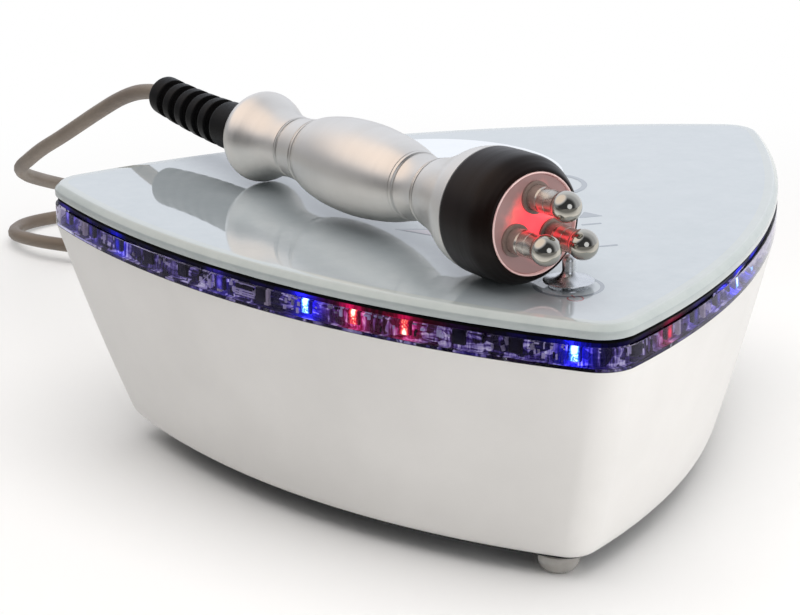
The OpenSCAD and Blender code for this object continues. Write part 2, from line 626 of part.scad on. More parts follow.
module head_leds() color("red") on_hand() translate([0, 0, lamp_u + board_t])
  for (k = [0 : 5]) rotate(60 * k + 27) translate([k % 2 == 0 ? 12.4 : 4.2, 0, 0]) {
    cylinder(r = 1.9, h = 0.8);
    cylinder(r = 1.5, h = 2);
    translate([0, 0, 2]) sphere(r = 1.5, $fn = 24);
  }

// Ribbed relief along a line that bends up slightly behind the bulb
relief_r0 = 9.9;
relief_r1 = 8;
relief_rise = 4.3;
relief_head = 14;
relief_tail = 11;
rib_n = 4;
groove_l = 2.4;
groove_deep = 2;
relief_sides = 32;
rib_pitch = (relief_l - relief_head - relief_tail) / rib_n;
function relief_r(s) = relief_r0 + (relief_r1 - relief_r0) * s / relief_l;
function relief_ring(s, r) =
  let (a = atan(2 * relief_rise * max(s, 0) / pow(relief_l, 2)),
    x = -relief_rise * pow(max(s, 0) / relief_l, 2))
  [for (k = [0 : relief_sides - 1]) let (b = 360 * k / relief_sides)
    [x + r * cos(b) * cos(a), r * sin(b), rear_u - s - r * cos(b) * sin(a)]];
// [distance from the bulb, radius] from the cord's end to the bulb
relief_pts = concat(
  [[relief_l, relief_r1 - 0.9], [relief_l - 1, relief_r1]],
  [for (k = [rib_n : -1 : 0]) let (s = relief_head + k * rib_pitch, r = relief_r(s)) each
    [[s + groove_l, k == rib_n ? relief_r1 : r], [s + groove_l - 0.2, r - groove_deep],
      [s + 0.2, r - groove_deep], [s, r]]],
  [[0.6, relief_r0], [0, relief_r0 - 0.4], [0, relief_r0 - 1.45], [-3.5, relief_r0 - 1.45]]);
module strain_relief() color("#1c1c1c") on_hand() loft([for (p = relief_pts) relief_ring(p[0], p[1])], true);

// ---- cord ----
cord_r = cord_d / 2;
// Free route from the strain relief to the coil, and from the coil to the plug
cord_route = [[-95.35, 145, 124.7], [-98.6, 154.5, 123.6], [-103, 166, 120.6], [-108, 179, 115],
  [-114, 194, 106.6], [-120, 211, 97], [-126, 229, 87], [-132, 248, 77], [-136, 267, 67], [-137, 287, 58],
  [-132, 307, 49], [-123, 325, 41], [-112, 341, 33.5], [-97, 355, 25.5], [-78, 364, 17], [-56, 367, 9],
  [-34, 361, 4], [-15, 346, 3.3], [-6.5, 323, 3.3], [-15, 299.5, 3.3], [-37, 287, 3.3], [-64, 292, 4.5],
  [-89, 302, 7], [-110, 315, 8.5], [-126, 331, 8.2], [-133, 352, 6.2], [-124.5, 373, 4.2],
  [-105, 384, 3.3], [-79, 387, 3.3], [-50, 389, 3.3], [-20, 386, 3.3], [8, 375, 3.3], [27, 356, 3.3],
  [36, 330, 3.3], [38, 300, 3.3], [37, 270, 3.3], [34.9, 244.2, 3.3]];
tail_route = [[54, 262.75, 10.6], [36, 262.9, 10.4], [14, 257.6, 7.4], [-6, 246.5, 4.2], [-23, 230, 5.6],
  [-34, 213, 12.4], [-39.5, 199.5, 21.6], [-41.7, 189, 30.2], [-42, 180.5, 36.6], [-42, 172.8, 40.4],
  [-42, 165.65, 41]];
function unit(v) = v / norm(v);
// Ring of the tube round point i of a route, square to the route
function tube_ring(c, i, r, n) =
  let (dir = unit(c[min(i + 1, len(c) - 1)] - c[max(i - 1, 0)]),
    side = unit(cross(dir, [0, 0, 1])),
    up = cross(side, dir))
  [for (k = [0 : n - 1]) c[i] + r * (cos(360 * k / n) * side + sin(360 * k / n) * up)];
module tube(c, r, n = 10) {
  m = len(c);
  polyhedron(
    points = [for (i = [0 : m - 1]) each tube_ring(c, i, r, n)],
    faces = concat(
      [[for (k = [0 : n - 1]) k]],
      [for (i = [0 : m - 2], k = [0 : n - 1])
        each [[i * n + k, (i + 1) * n + k, i * n + (k + 1) % n],
          [i * n + (k + 1) % n, (i + 1) * n + k, (i + 1) * n + (k + 1) % n]]],
      [[for (k = [n - 1 : -1 : 0]) (m - 1) * n + k]]));
}
curved_n = 29;
module handpiece_cord() color("#9a9088") tube(concat(
  spline([for (i = [0 : curved_n]) cord_route[i]], 2),
  [for (i = [curved_n + 1 : len(cord_route) - 1]) cord_route[i]]), cord_r);
module cord_tail() color("#9a9088") tube(tail_route, cord_r);
coil_at = [75, 222];
coil_mid_r = 36;
module cord_coil() color("#9a9088") translate([coil_at[0], coil_at[1], 0]) rotate_extrude()
  translate([coil_mid_r - cord_d, 0.05]) square([2 * cord_d, 2 * cord_d]);

// Plug on the rear socket
plug_r = socket_r - 2.2;
ring_start = 2.2;
module plug_ring() color("silver") on_socket(ring_start) difference() {
  cylinder(r = socket_r + 2.2, h = 13);
  translate([0, 0, -1]) cylinder(r = socket_r + 0.1, h = socket_reach + 1.2 - ring_start);
  translate([0, 0, -1]) cylinder(r = plug_r + 0.1, h = 20);
  for (k = [0 : 11]) rotate(30 * k) translate([socket_r + 2.6, 0, 1.5]) cylinder(r = 0.9, h = 10, $fn = 16);
}
shell_start = 6.2;
shell_l = 24.8;
module plug_shell() color("#303030") on_socket(shell_start) rotate_extrude() polygon([[0, 0], [plug_r, 0],
  [plug_r, 9.2], [plug_r + 1.4, 9.2], [plug_r + 1.4, 17], [plug_r + 0.6, shell_l], [0, shell_l]]);
boot_l = 20.2;
module plug_boot() color("#303030") on_socket(shell_start + shell_l) rotate_extrude() polygon(concat(
  [[0, 0], [plug_r + 0.5, 0]],
  [for (k = [0 : 4]) let (r = plug_r + 0.3 - 0.35 * k, z = 2 + k * 3.4)
    each [[r, z], [r - 0.9, z + 0.2], [r - 1, z + 1.2], [r - 0.1, z + 1.4]]],
  [[cord_r + 0.6, boot_l], [0, boot_l]]));

case_tub();
base_plate();
base_screws();
rubber_feet();
light_ring();
ring_screws();
spacer_posts();
led_strip();
blue_leds();
red_leds();
violet_leds();
gasket_frame();
panel_film();
glass_top();
touch_board();
flat_cable();
button_bezel();
power_button();
button_spring();
button_nut();
button_switch();
switch_terminals();
main_board();
rf_board();
standoffs();
board_screws();
board_chips();
capacitors();
rf_transformer();
heat_sink();
power_supply();
supply_terminals();
mains_inlet();
inlet_pins();
inlet_screws();
handpiece_socket();
socket_nut();
socket_contacts();
rear_bulb();
rear_ring();
grip_barrel();
front_ring();
front_collar();
barrel_core();
head_shell();
head_sleeve();
face_rim();
face_plate();
electrodes();
electrode_sleeves();
electrode_nuts();
lamp_board();
head_leds();
strain_relief();
handpiece_cord();
cord_coil();
cord_tail();
plug_ring();
plug_shell();
plug_boot();
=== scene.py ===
# Looks of the tabletop facial toning console and its handpiece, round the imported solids.
# Lengths are in millimetres until a piece is finished, when its mesh is turned to metres.
import math
import random

import bmesh
import bpy
from mathutils import Euler, Matrix, Vector
from mathutils.kdtree import KDTree


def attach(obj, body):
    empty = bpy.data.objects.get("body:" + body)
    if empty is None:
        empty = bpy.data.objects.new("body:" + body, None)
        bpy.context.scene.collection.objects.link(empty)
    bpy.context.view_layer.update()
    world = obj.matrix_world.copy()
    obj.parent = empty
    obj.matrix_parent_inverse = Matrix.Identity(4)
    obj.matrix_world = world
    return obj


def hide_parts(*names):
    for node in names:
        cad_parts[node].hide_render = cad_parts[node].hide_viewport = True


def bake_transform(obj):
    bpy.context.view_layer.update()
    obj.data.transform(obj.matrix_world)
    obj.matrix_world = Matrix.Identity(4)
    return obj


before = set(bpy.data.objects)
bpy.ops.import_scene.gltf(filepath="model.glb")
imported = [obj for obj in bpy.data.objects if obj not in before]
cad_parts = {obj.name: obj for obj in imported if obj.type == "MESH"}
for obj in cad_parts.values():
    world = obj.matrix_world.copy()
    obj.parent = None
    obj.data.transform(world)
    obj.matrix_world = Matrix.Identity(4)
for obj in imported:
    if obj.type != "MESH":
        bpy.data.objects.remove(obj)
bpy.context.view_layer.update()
scene = bpy.context.scene
MM = 0.001

# ---- camera ----
lens = bpy.data.cameras.new("camera")
lens.lens = 112.5
lens.sensor_width = 36
camera = bpy.data.objects.new("camera", lens)
camera.location = (-0.2892, -0.8534, 0.3760)
camera.rotation_euler = Euler((math.radians(71.17), 0, math.radians(-16.54)))
scene.collection.objects.link(camera)
scene.camera = camera

# ---- sizes shared by several pieces ----
BAND_Z, BAND_H = 88.4, 8.2
FRAME_Z, FRAME_H = 96.6, 2.9
GLASS_Z, GLASS_T = 99.8, 5.0
TOP_Z = GLASS_Z + GLASS_T
BUTTON_AT = Vector((-0.6, -85.6, 0))
SOCKET_X, SOCKET_Z = -42, 41
HAND_AT = Vector((-68.8, 69.4, 123.02))
HAND_TILT, HAND_TURN = 1.952, 19.35
HAND_M = (Matrix.Translation(HAND_AT) @ Matrix.Rotation(math.radians(HAND_TURN - 90), 4, "Z")
          @ Matrix.Rotation(math.radians(90 - HAND_TILT), 4, "Y"))


def catmull(points, n):
    """Smooth curve through the points, n steps between each two."""
    p = [Vector(q) for q in points]
    p = [2 * p[0] - p[1]] + p + [2 * p[-1] - p[-2]]
    out = []
    for i in range(1, len(p) - 2):
        a, b, c, d = p[i - 1:i + 3]
        for k in range(n):
            t = k / n
            out.append(0.5 * (2 * b + (c - a) * t + (2 * a - 5 * b + 4 * c - d) * t ** 2
                              + (3 * b - a - 3 * c + d) * t ** 3))
    return out + [p[-2]]


def evenly(points, step):
    """The same line, resampled so that its points lie about step apart."""
    run = [0.0]
    for a, b in zip(points, points[1:]):
        run.append(run[-1] + (b - a).length)
    count = round(run[-1] / step)
    out, j = [], 0
    for i in range(count + 1):
        s = run[-1] * i / count
        while j < len(run) - 2 and run[j + 1] < s:
            j += 1
        out.append(points[j].lerp(points[j + 1], (s - run[j]) / (run[j + 1] - run[j])))
    return out


# ---- colours and materials ----
# Most of a noise texture's values lie in this range
NOISE_SPAN = (0.3, 0.7)


def linear(hex_text):
    """An sRGB hex colour as linear RGBA."""
    rgb = [int(hex_text[i:i + 2], 16) / 255 for i in (0, 2, 4)]
    return [c / 12.92 if c <= 0.04045 else ((c + 0.055) / 1.055) ** 2.4 for c in rgb] + [1.0]


def wire(tree, source, target, socket):
    """Links a node's first output, or the one that a (node, output) pair names, to a socket."""
    node, output = source if isinstance(source, tuple) else (source, 0)
    tree.links.new(node.outputs[output], target.inputs[socket])


def add(tree, kind, inputs=(), stops=(), **settings):
    """Adds a node; inputs are a dict by name or a list in order, stops a ramp's (position, hex) pairs.

    An input takes a value, a node's first output, or a (node, output) pair.
    """
    made = tree.nodes.new("ShaderNode" + kind)
    for key, value in settings.items():
        setattr(made, key, value)
    given = inputs if isinstance(inputs, dict) else dict(enumerate(inputs))
    for key, value in given.items():
        first = value[0] if isinstance(value, tuple) else value
        if isinstance(first, bpy.types.Node):
            wire(tree, value, made, key)
        else:
            made.inputs[key].default_value = value
    if stops:
        elements = made.color_ramp.elements
        while len(elements) < len(stops):
            elements.new(0.5)
        for element, (position, hex_text) in zip(elements, stops):
            element.position = position
            element.color = linear(hex_text)
    return made


def hand_space(tree):
    """Places on the handpiece, in its own frame."""
    return add(tree, "Mapping", {"Vector": (add(tree, "TexCoord"), "Object"), "Location": HAND_AT * MM,
                                 "Rotation": HAND_M.to_euler("XYZ")}, vector_type="TEXTURE")


def blank(name, **sockets):
    """A new material with its node tree and shader; sockets are set on the shader itself."""
    mat = bpy.data.materials.new(name)
    mat.use_nodes = True
    shader = mat.node_tree.nodes["Principled BSDF"]
    for key, value in sockets.items():
        shader.inputs[key.replace("_", " ")].default_value = value
    return mat, mat.node_tree, shader


def surface(name, dark, light, rough, grain, bump, cloud=30, stretch=(1, 1, 1), **sockets):
    """A finish whose colour drifts between two hexes over cloud mm, with bumps grain mm wide."""
    mat, tree, shader = blank(name, **sockets)
    scaled = add(tree, "Mapping", {"Vector": (add(tree, "TexCoord"), "Object"), "Scale": stretch})
    drift = add(tree, "TexNoise", {"Vector": scaled, "Scale": 1000 / cloud, "Detail": 4.0})
    fine = add(tree, "TexNoise", {"Vector": scaled, "Scale": 1000 / grain, "Detail": 2.0})
    wire(tree, add(tree, "ValToRGB", [drift], stops=[(0.35, dark), (0.65, light)]), shader, "Base Color")
    wire(tree, add(tree, "MapRange", [fine, *NOISE_SPAN, *rough]), shader, "Roughness")
    raised = add(tree, "Bump", {"Height": fine, "Strength": bump, "Distance": 0.0001})
    wire(tree, raised, shader, "Normal")
    return mat


def turned_metal(name, dark, light, rough, line, bump, **sockets):
    """A lathe finish: fine rings round the handpiece's axis, line mm apart, over a slow drift of tone."""
    mat, tree, shader = blank(name, **sockets)
    along = hand_space(tree)
    rings = add(tree, "Mapping", {"Vector": along, "Scale": (18, 18, 1000 / line)})
    lines = add(tree, "TexNoise", {"Vector": rings, "Scale": 1.0, "Detail": 3.0})
    drift = add(tree, "TexNoise", {"Vector": along, "Scale": 1000 / 38, "Detail": 3.0})
    wire(tree, add(tree, "ValToRGB", [drift], stops=[(0.36, dark), (0.64, light)]), shader, "Base Color")
    wire(tree, add(tree, "MapRange", [lines, *NOISE_SPAN, *rough]), shader, "Roughness")
    raised = add(tree, "Bump", {"Height": lines, "Strength": bump, "Distance": 0.00006})
    wire(tree, raised, shader, "Normal")
    return mat


def lamp_glow(name, stops, strength):
    """Lamp body of clear epoxy with a bright spot in a wavering column of light.

    UV 'face' is mm from the lamp's middle; 'lit' holds its brightness and its spot's height.
    """
    mat, tree, shader = blank(name, Roughness=0.5)
    flat = add(tree, "UVMap", uv_map="face")
    lit = add(tree, "SeparateColor", {"Color": add(tree, "VertexColor", layer_name="lit")})
    at = add(tree, "SeparateXYZ", {"Vector": flat})
    lift = add(tree, "MapRange", [(lit, "Green"), 0.0, 1.0, -2.5, 2.5])
    above = add(tree, "Math", [(at, "Y"), lift], operation="SUBTRACT")
    squeezed = add(tree, "Math", [above, 0.7], operation="MULTIPLY")
    apart = add(tree, "CombineXYZ", {"X": (at, "X"), "Y": squeezed})
    away = add(tree, "VectorMath", [apart], operation="LENGTH")
    spot = add(tree, "MapRange", [(away, "Value"), 0.5, 2.5, 1.0, 0.0], interpolation_type="SMOOTHSTEP")
    beside = add(tree, "Math", [(at, "X")], operation="ABSOLUTE")
    column = add(tree, "MapRange", [beside, 0.3, 2.6, 0.85, 0.15], interpolation_type="SMOOTHSTEP")
    waver = add(tree, "TexNoise", {"Vector": flat, "Scale": 1.3, "Detail": 2.0})
    share = add(tree, "MapRange", [waver, *NOISE_SPAN, 0.45, 1.35])
    uneven = add(tree, "Math", [column, share], operation="MULTIPLY")
    shape = add(tree, "Math", [spot, uneven], operation="MAXIMUM")
    bright = add(tree, "Math", [shape, (lit, "Red")], operation="MULTIPLY")
    shader.inputs["Base Color"].default_value = linear(stops[0][1])
    wire(tree, add(tree, "ValToRGB", [bright], stops=stops), shader, "Emission Color")
    wire(tree, add(tree, "MapRange", [bright, 0.0, 1.0, 0.0, strength]), shader, "Emission Strength")
    return mat


# ABS, moulded with a fine satin texture: soft broad sheen, no mirror image
white_abs = surface("white_abs_satin", "e0dedb", "e8e6e3", (0.34, 0.44), 0.9, 0.05, 60)
# Powder-coated steel: dark, faintly orange-peeled
coated_steel = surface("powder_coated_steel", "1b1c1e", "26272a", (0.45, 0.6), 1.1, 0.25, 20)
zinc_steel = surface("zinc_plated_steel", "a9adb2", "c6c8ca", (0.22, 0.4), 0.7, 0.1, 6, Metallic=1.0)
# Nickel on brass: warm grey, brighter than the screws
nickel = surface("nickel_plated_brass", "b4b1aa", "d0cdc6", (0.14, 0.26), 0.8, 0.05, 9, Metallic=1.0)
brass = surface("gold_plated_contacts", "b08a3c", "d4ae5a", (0.2, 0.32), 0.6, 0.05, 5, Metallic=1.0)
spring_steel = surface("drawn_spring_steel", "6f7276", "8f9296", (0.25, 0.4), 0.5, 0.1, 4, Metallic=1.0)
# Chrome on brass: mirror-like, a trace of haze
chrome = surface("chrome_plated_brass", "d3d5d7", "e2e3e4", (0.24, 0.32), 1.2, 0.02, 12, Metallic=1.0)
# Silicone: clear and soft-looking, slightly milky
clear_silicone = surface("clear_silicone", "dcd8d2", "ece8e2", (0.1, 0.2), 1.4, 0.05, 5,
                         Transmission_Weight=0.6, IOR=1.41)
black_foam = surface("closed_cell_foam", "040405", "080809", (0.7, 0.85), 0.8, 0.3, 12,
                     Specular_IOR_Level=0.06)
black_plastic = surface("moulded_black_nylon", "121213", "1c1c1d", (0.42, 0.56), 0.8, 0.15, 18)
board_green = surface("green_solder_mask", "0c3a20", "1b5a35", (0.3, 0.45), 1.6, 0.3, 4)
board_white = surface("white_solder_mask", "d9d9d6", "e9e9e6", (0.35, 0.5), 1.2, 0.1, 7)
cable_white = surface("polyester_flat_lead", "d8d8d4", "efefec", (0.4, 0.5), 1.0, 0.1, 3, stretch=(12, 1, 1))
can_sleeve = surface("shrink_sleeve_blue", "131d44", "202d63", (0.25, 0.4), 2.0, 0.15, 9)
wound_copper = surface("enamelled_copper_winding", "7a3714", "b8632a", (0.25, 0.4), 1.1, 0.8, 2,
                       stretch=(1, 1, 0.15))
extruded_al = surface("extruded_aluminium", "9a9c9e", "b4b6b8", (0.3, 0.45), 1.0, 0.15, 14,
                      stretch=(0.1, 1, 1), Metallic=1.0)
supply_parts = surface("potted_supply_parts", "6d6f70", "8f9192", (0.45, 0.6), 1.5, 0.2, 7)
terminal_green = surface("moulded_green_nylon", "1f7a3f", "2d8f4d", (0.4, 0.5), 0.9, 0.1, 10)
ivory_nylon = surface("turned_ivory_nylon", "ddd6c2", "e8e2d0", (0.35, 0.5), 0.9, 0.1, 12)
# Smoky brown: the sleeves' own tone, also painted on each rod's seat as the shade where the rods meet the
# face
sleeve_and_seat_shade = surface("smoky_sleeve_and_painted_seat_shade", "7d6b64", "8f7d75", (0.16, 0.28), 0.8, 0.1, 8)
# Rubber compound of the strain relief: black with a faint silky sheen on the ribs
relief_rubber = surface("moulded_black_rubber", "060505", "0b0909", (0.36, 0.48), 0.9, 0.2, 14,
                        Specular_IOR_Level=0.1)
# Plasticised PVC jacket: warm grey, satin, faint length-wise variation
cord_pvc = surface("grey_pvc_jacket", "716458", "837668", (0.4, 0.5), 1.3, 0.1, 40)
tie_cloth = surface("hook_and_loop_tie", "17171a", "2a2a2e", (0.8, 0.95), 0.9, 0.9, 3)
# Aluminium, bead-blasted fine and anodised a pale champagne: silky, with faint lathe rings
champagne = turned_metal("satin_anodised_aluminium", "e0dcd6", "ece8e2", (0.33, 0.41), 1.1, 0.16,
                         Metallic=1.0)
# Aluminium, anodised black: deep, with a warm cast and a silky sheen
black_anodised = turned_metal("black_anodised_aluminium", "0f0806", "190f0b", (0.3, 0.4), 0.9, 0.1,
                              Specular_IOR_Level=0.18)
polished_steel = turned_metal("polished_stainless_steel", "b9b5ab", "c6c2b8", (0.07, 0.11), 0.8, 0.02,
                              Metallic=1.0)
satin_steel = turned_metal("brushed_stainless_steel", "bfb8af", "cdc7be", (0.17, 0.24), 0.5, 0.02,
                           Metallic=1.0)
# Clear rim; its faint pink glow is painted light
pale_rim = surface("polished_clear_acrylic_rim", "dcc0bd", "f0dedb", (0.12, 0.2), 1.5, 0.05, 6,
                   Emission_Color=linear("ff8d86"), Emission_Strength=0.12)

lamp_blue = lamp_glow("lit_blue_lamp", ((0.0, "0d0a30"), (0.3, "1a1fd8"), (0.5, "3f8bff"), (0.72, "8fe9ff"),
                                        (1.0, "f0ffff")), 3.6)
lamp_red = lamp_glow("lit_red_lamp", ((0.0, "22060f"), (0.3, "b01038"), (0.6, "ff2a48"), (0.85, "ff7a4c"),
                                      (1.0, "fff0c8")), 2.6)
lamp_violet = lamp_glow("lit_violet_lamp", ((0.0, "0b0914"), (0.3, "35259a"), (0.6, "5d4fe0"),
                                            (0.85, "a59cff"), (1.0, "e2deff")), 1.4)
lamp_lens = surface("lit_red_lamp_lens", "c01c22", "e8483e", (0.15, 0.3), 1.2, 0.05, 2,
                    Emission_Color=linear("ff2a30"), Emission_Strength=2.0)
# Tinned pads and ceramic parts in their own tones, with a painted glow for the lamps' light from the side
lit_tin = surface("tinned_pads_in_lamp_light", "9d99a8", "d9d6e0", (0.25, 0.4), 1.1, 0.2, 4,
                  Emission_Color=linear("c7c2dd"), Emission_Strength=0.33)
# Bright post fronts, with a painted glow for the lamps' light
lit_post = surface("bright_posts_in_lamp_light", "a39d99", "cfcac4", (0.25, 0.4), 1.1, 0.2, 3,
                   Emission_Color=linear("b5aeb0"), Emission_Strength=0.3)

# Screen print on the back of the glass, seen through it: same polish as the glass round it
GLASS_POLISH = dict(Roughness=0.04, IOR=1.5, Coat_Weight=1.0, Coat_Roughness=0.02, Coat_IOR=1.5)


def printed(name, dark, light, polish=GLASS_POLISH):
    """Ink under polished glass: an even colour with the faint mottle of a screen print."""
    mat, tree, shader = blank(name, **polish)
    place = add(tree, "TexCoord")
    mottle = add(tree, "TexNoise", {"Vector": (place, "Object"), "Scale": 1000 / 14, "Detail": 5.0,
                                    "Roughness": 0.7})
    wire(tree, add(tree, "ValToRGB", [mottle], stops=[(0.3, dark), (0.7, light)]), shader, "Base Color")
    return mat


film_ink = printed("printed_polyester_film", "b4bfcd", "bcc7d4", dict(Roughness=0.4))
glass_face = printed("toughened_glass_over_pale_print", "b6bfc4", "bec6cb")
# The unprinted margin and the ground edge show the glass itself: pale, a little green
glass_margin = printed("toughened_glass_margin", "bac1bf", "c2c8c6")
glass_edge = printed("ground_glass_edge", "a6aeae", "b3bab9",
                     dict(Roughness=0.16, IOR=1.5, Coat_Weight=0.6, Coat_Roughness=0.08, Coat_IOR=1.5))
glass_arris = printed("ground_glass_arris", "b4bcba", "bfc6c3",
                      dict(Roughness=0.2, IOR=1.5, Coat_Weight=0.4, Coat_Roughness=0.12, Coat_IOR=1.5))
ink_white = printed("white_ink_under_glass", "ecf3fb", "f1f7fd")
ink_grey = printed("grey_ink_under_glass", "848d96", "8b949d")
ink_pink = printed("pale_pink_ink_under_glass", "b8adb6", "c0b4bc")
ink_red = printed("red_ink_under_glass", "b4767c", "bd7f84")


def smoked_acrylic():
    """Cast acrylic, tinted violet-grey: mirror-smooth outside, a little wavy from the mould."""
    mat, tree, shader = blank("smoked_clear_acrylic", Transmission_Weight=1.0, IOR=1.16, Roughness=0.02)
    place = add(tree, "TexCoord")
    wave = add(tree, "TexNoise", {"Vector": (place, "Object"), "Scale": 1000 / 9, "Detail": 1.0})
    raised = add(tree, "Bump", {"Height": wave, "Strength": 0.25, "Distance": 0.0003})
    wire(tree, add(tree, "ValToRGB", [wave], stops=[(0.3, "bdb6d4"), (0.7, "d0cbe0")]), shader, "Base Color")
    wire(tree, raised, shader, "Normal")
    return mat


def lamp_lit(name, streak_level, spill_level, body, **sockets):
    """Black part behind moulded prisms, with painted streaks of room light and painted light of the lamps
    kept in 'spill'.
    """
    mat, tree, shader = blank(name, Emission_Strength=1.0, **sockets)
    flat = add(tree, "UVMap", uv_map="run")

    def streaky(scale, detail, distortion=0.0):
        at = add(tree, "Mapping", {"Vector": flat, "Scale": scale})
        return add(tree, "TexNoise", {"Vector": at, "Scale": 1.0, "Detail": detail, "Roughness": 0.62,
                                      "Distortion": distortion})

    upright = streaky((0.8, 0.12, 1), 3.0)
    flowing = streaky((0.09, 0.75, 1), 4.0, 0.8)
    slow = streaky((0.026, 0, 1), 1.0)
    stretch = add(tree, "MapRange", [slow, 0.44, 0.56, 0.0, 1.0])
    mixed = add(tree, "Mix", {"Factor": stretch, "A": upright, "B": flowing})
    blocks = add(tree, "Mapping", {"Vector": flat, "Scale": (0.28, 0.36, 1)})
    cells = add(tree, "TexVoronoi", {"Vector": blocks, "Scale": 1.0})
    cell = add(tree, "SeparateColor", {"Color": (cells, "Color")})
    step = add(tree, "MapRange", [(cell, "Red"), 0.0, 1.0, 0.78, 1.28])
    tone = add(tree, "Math", [mixed, step], operation="MULTIPLY")
    streaks = add(tree, "ValToRGB", [tone], stops=[(0.42, "060309"), (0.5, "1a102b"), (0.55, "3e2d70"),
                                                   (0.6, "776ba6"), (0.66, "b8b1d0"), (0.76, "f2f1f6")])
    room = add(tree, "VectorMath", {0: streaks, "Scale": streak_level}, operation="SCALE")
    share = add(tree, "MapRange", [tone, 0.38, 0.7, 0.35 * spill_level, 1.7 * spill_level])
    spill = add(tree, "VertexColor", layer_name="spill")
    glow = add(tree, "VectorMath", {0: spill, "Scale": share}, operation="SCALE")
    both = add(tree, "VectorMath", [room, glow], operation="ADD")
    wire(tree, add(tree, "ValToRGB", [tone], stops=[(0.45, "050407"), (0.75, body)]), shader, "Base Color")
    wire(tree, both, shader, "Emission Color")
    wire(tree, add(tree, "MapRange", [tone, *NOISE_SPAN, 0.22, 0.5]), shader, "Roughness")
    return mat


def lit_face():
    """Frosted acrylic with red lamps behind: pinkish white, glowing red between the electrodes."""
    mat, tree, shader = blank("frosted_acrylic_lit_red", Roughness=0.22, IOR=1.49, Coat_Weight=0.3)
    local = hand_space(tree)
    flat = add(tree, "VectorMath", [local, (1.0, 1.0, 0.0)], operation="MULTIPLY")
    away = add(tree, "VectorMath", [flat], operation="LENGTH")
    cloud = add(tree, "TexNoise", {"Vector": local, "Scale": 1000 / 7, "Detail": 3.0})
    waver = add(tree, "MapRange", [cloud, *NOISE_SPAN, -0.0022, 0.0022])
    reach = add(tree, "Math", [(away, "Value"), waver], operation="ADD")
    glow = add(tree, "MapRange", [reach, 0.0045, 0.0148, 1.0, 0.0], interpolation_type="SMOOTHSTEP")
    wire(tree, add(tree, "ValToRGB", [glow], stops=[(0.0, "9d7d7b"), (0.5, "cf7674"), (1.0, "ee545a")]),
         shader, "Base Color")
    wire(tree, add(tree, "ValToRGB", [glow], stops=[(0.0, "c0928f"), (0.35, "f4605c"), (1.0, "ff4550")]),
         shader, "Emission Color")
    wire(tree, add(tree, "MapRange", [glow, 0.0, 1.0, 0.06, 1.02]), shader, "Emission Strength")
    return mat


smoked = smoked_acrylic()
lining = lamp_lit("lit_strip_behind_prisms", 0.75, 1.0, "4a4660")
frame_lit = lamp_lit("black_frame_in_lamp_light", 0.0, 0.5, "060508", Specular_IOR_Level=0.06)
face_glow = lit_face()


# ---- making pieces ----
def loop(bm, points):
    """A closed loop of edges through the points."""
    verts = [bm.verts.new(p) for p in points]
    return [bm.edges.new((a, b)) for a, b in zip(verts, verts[1:] + verts[:1])]


def stack(bm, rings, closed=False):
    """Bridges each ring of points to the next.

    A closed stack joins its last ring to its first; an open one is capped.
    """
    loops = [loop(bm, ring) for ring in rings]
    for low, high in zip(loops, loops[1:] + (loops[:1] if closed else [])):
        bmesh.ops.bridge_loops(bm, edges=low + high)
    if not closed:
        for end in (loops[0], loops[-1]):
            bmesh.ops.contextual_create(bm, geom=end)


def spin(bm, profile, steps=96, closed=True):
    """Turns a profile of (radius, height) points about Z."""
    verts = [bm.verts.new((r, 0, z)) for r, z in profile]
    pairs = list(zip(verts, verts[1:])) + ([(verts[-1], verts[0])] if closed else [])
    edges = [bm.edges.new(pair) for pair in pairs]
    bmesh.ops.spin(bm, geom=verts + edges, cent=(0, 0, 0), axis=(0, 0, 1), angle=math.tau, steps=steps,
                   use_merge=True)


def smooth(obj, angle=30):
    """Shades a piece smooth, with sharp edges where its faces turn by more than an angle."""
    mesh = obj.data
    mesh.polygons.foreach_set("use_smooth", [True] * len(mesh.polygons))
    mesh.set_sharp_from_angle(angle=math.radians(angle))


def make(bm, name, mats=(), place=None, angle=30):
    """Cleans a shape, puts it in its place, in metres, and gives it its materials."""
    bmesh.ops.remove_doubles(bm, verts=bm.verts, dist=0.0005)
    bmesh.ops.dissolve_degenerate(bm, edges=bm.edges, dist=0.0002)
    bmesh.ops.recalc_face_normals(bm, faces=bm.faces)
    if place is not None:
        bmesh.ops.transform(bm, matrix=place, verts=bm.verts)
    bmesh.ops.scale(bm, vec=(MM, MM, MM), verts=bm.verts)
    mesh = bpy.data.meshes.new(name)
    bm.to_mesh(mesh)
    bm.free()
    obj = bpy.data.objects.new(name, mesh)
    scene.collection.objects.link(obj)
    for mat in mats:
        mesh.materials.append(mat)
    smooth(obj, angle)
    return obj


def settle(obj, body, slot, *nodes):
    """Puts a finished piece on its body and hides the solids that it stands for; slot is not used."""
    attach(obj, body)
    if nodes:
        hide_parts(*nodes)
    return obj


def carve(obj, tools, how="DIFFERENCE", angle=30):
    """Joins or cuts a piece with other shapes, which are used up."""
    for tool in tools:
        cut = obj.modifiers.new("carve", "BOOLEAN")
        cut.operation, cut.solver, cut.object = how, "EXACT", tool
    bpy.context.view_layer.update()
    mesh = bpy.data.meshes.new_from_object(obj.evaluated_get(bpy.context.evaluated_depsgraph_get()))
    obj.modifiers.clear()
    obj.data = mesh
    for tool in tools:
        bpy.data.objects.remove(tool)
    smooth(obj, angle)


def absorb(bm, part):
    """Adds a part's shape to a larger one and frees the part."""
    copy = bpy.data.meshes.new("part")
    part.to_mesh(copy)
    part.free()
    bm.from_mesh(copy)
    bpy.data.meshes.remove(copy)


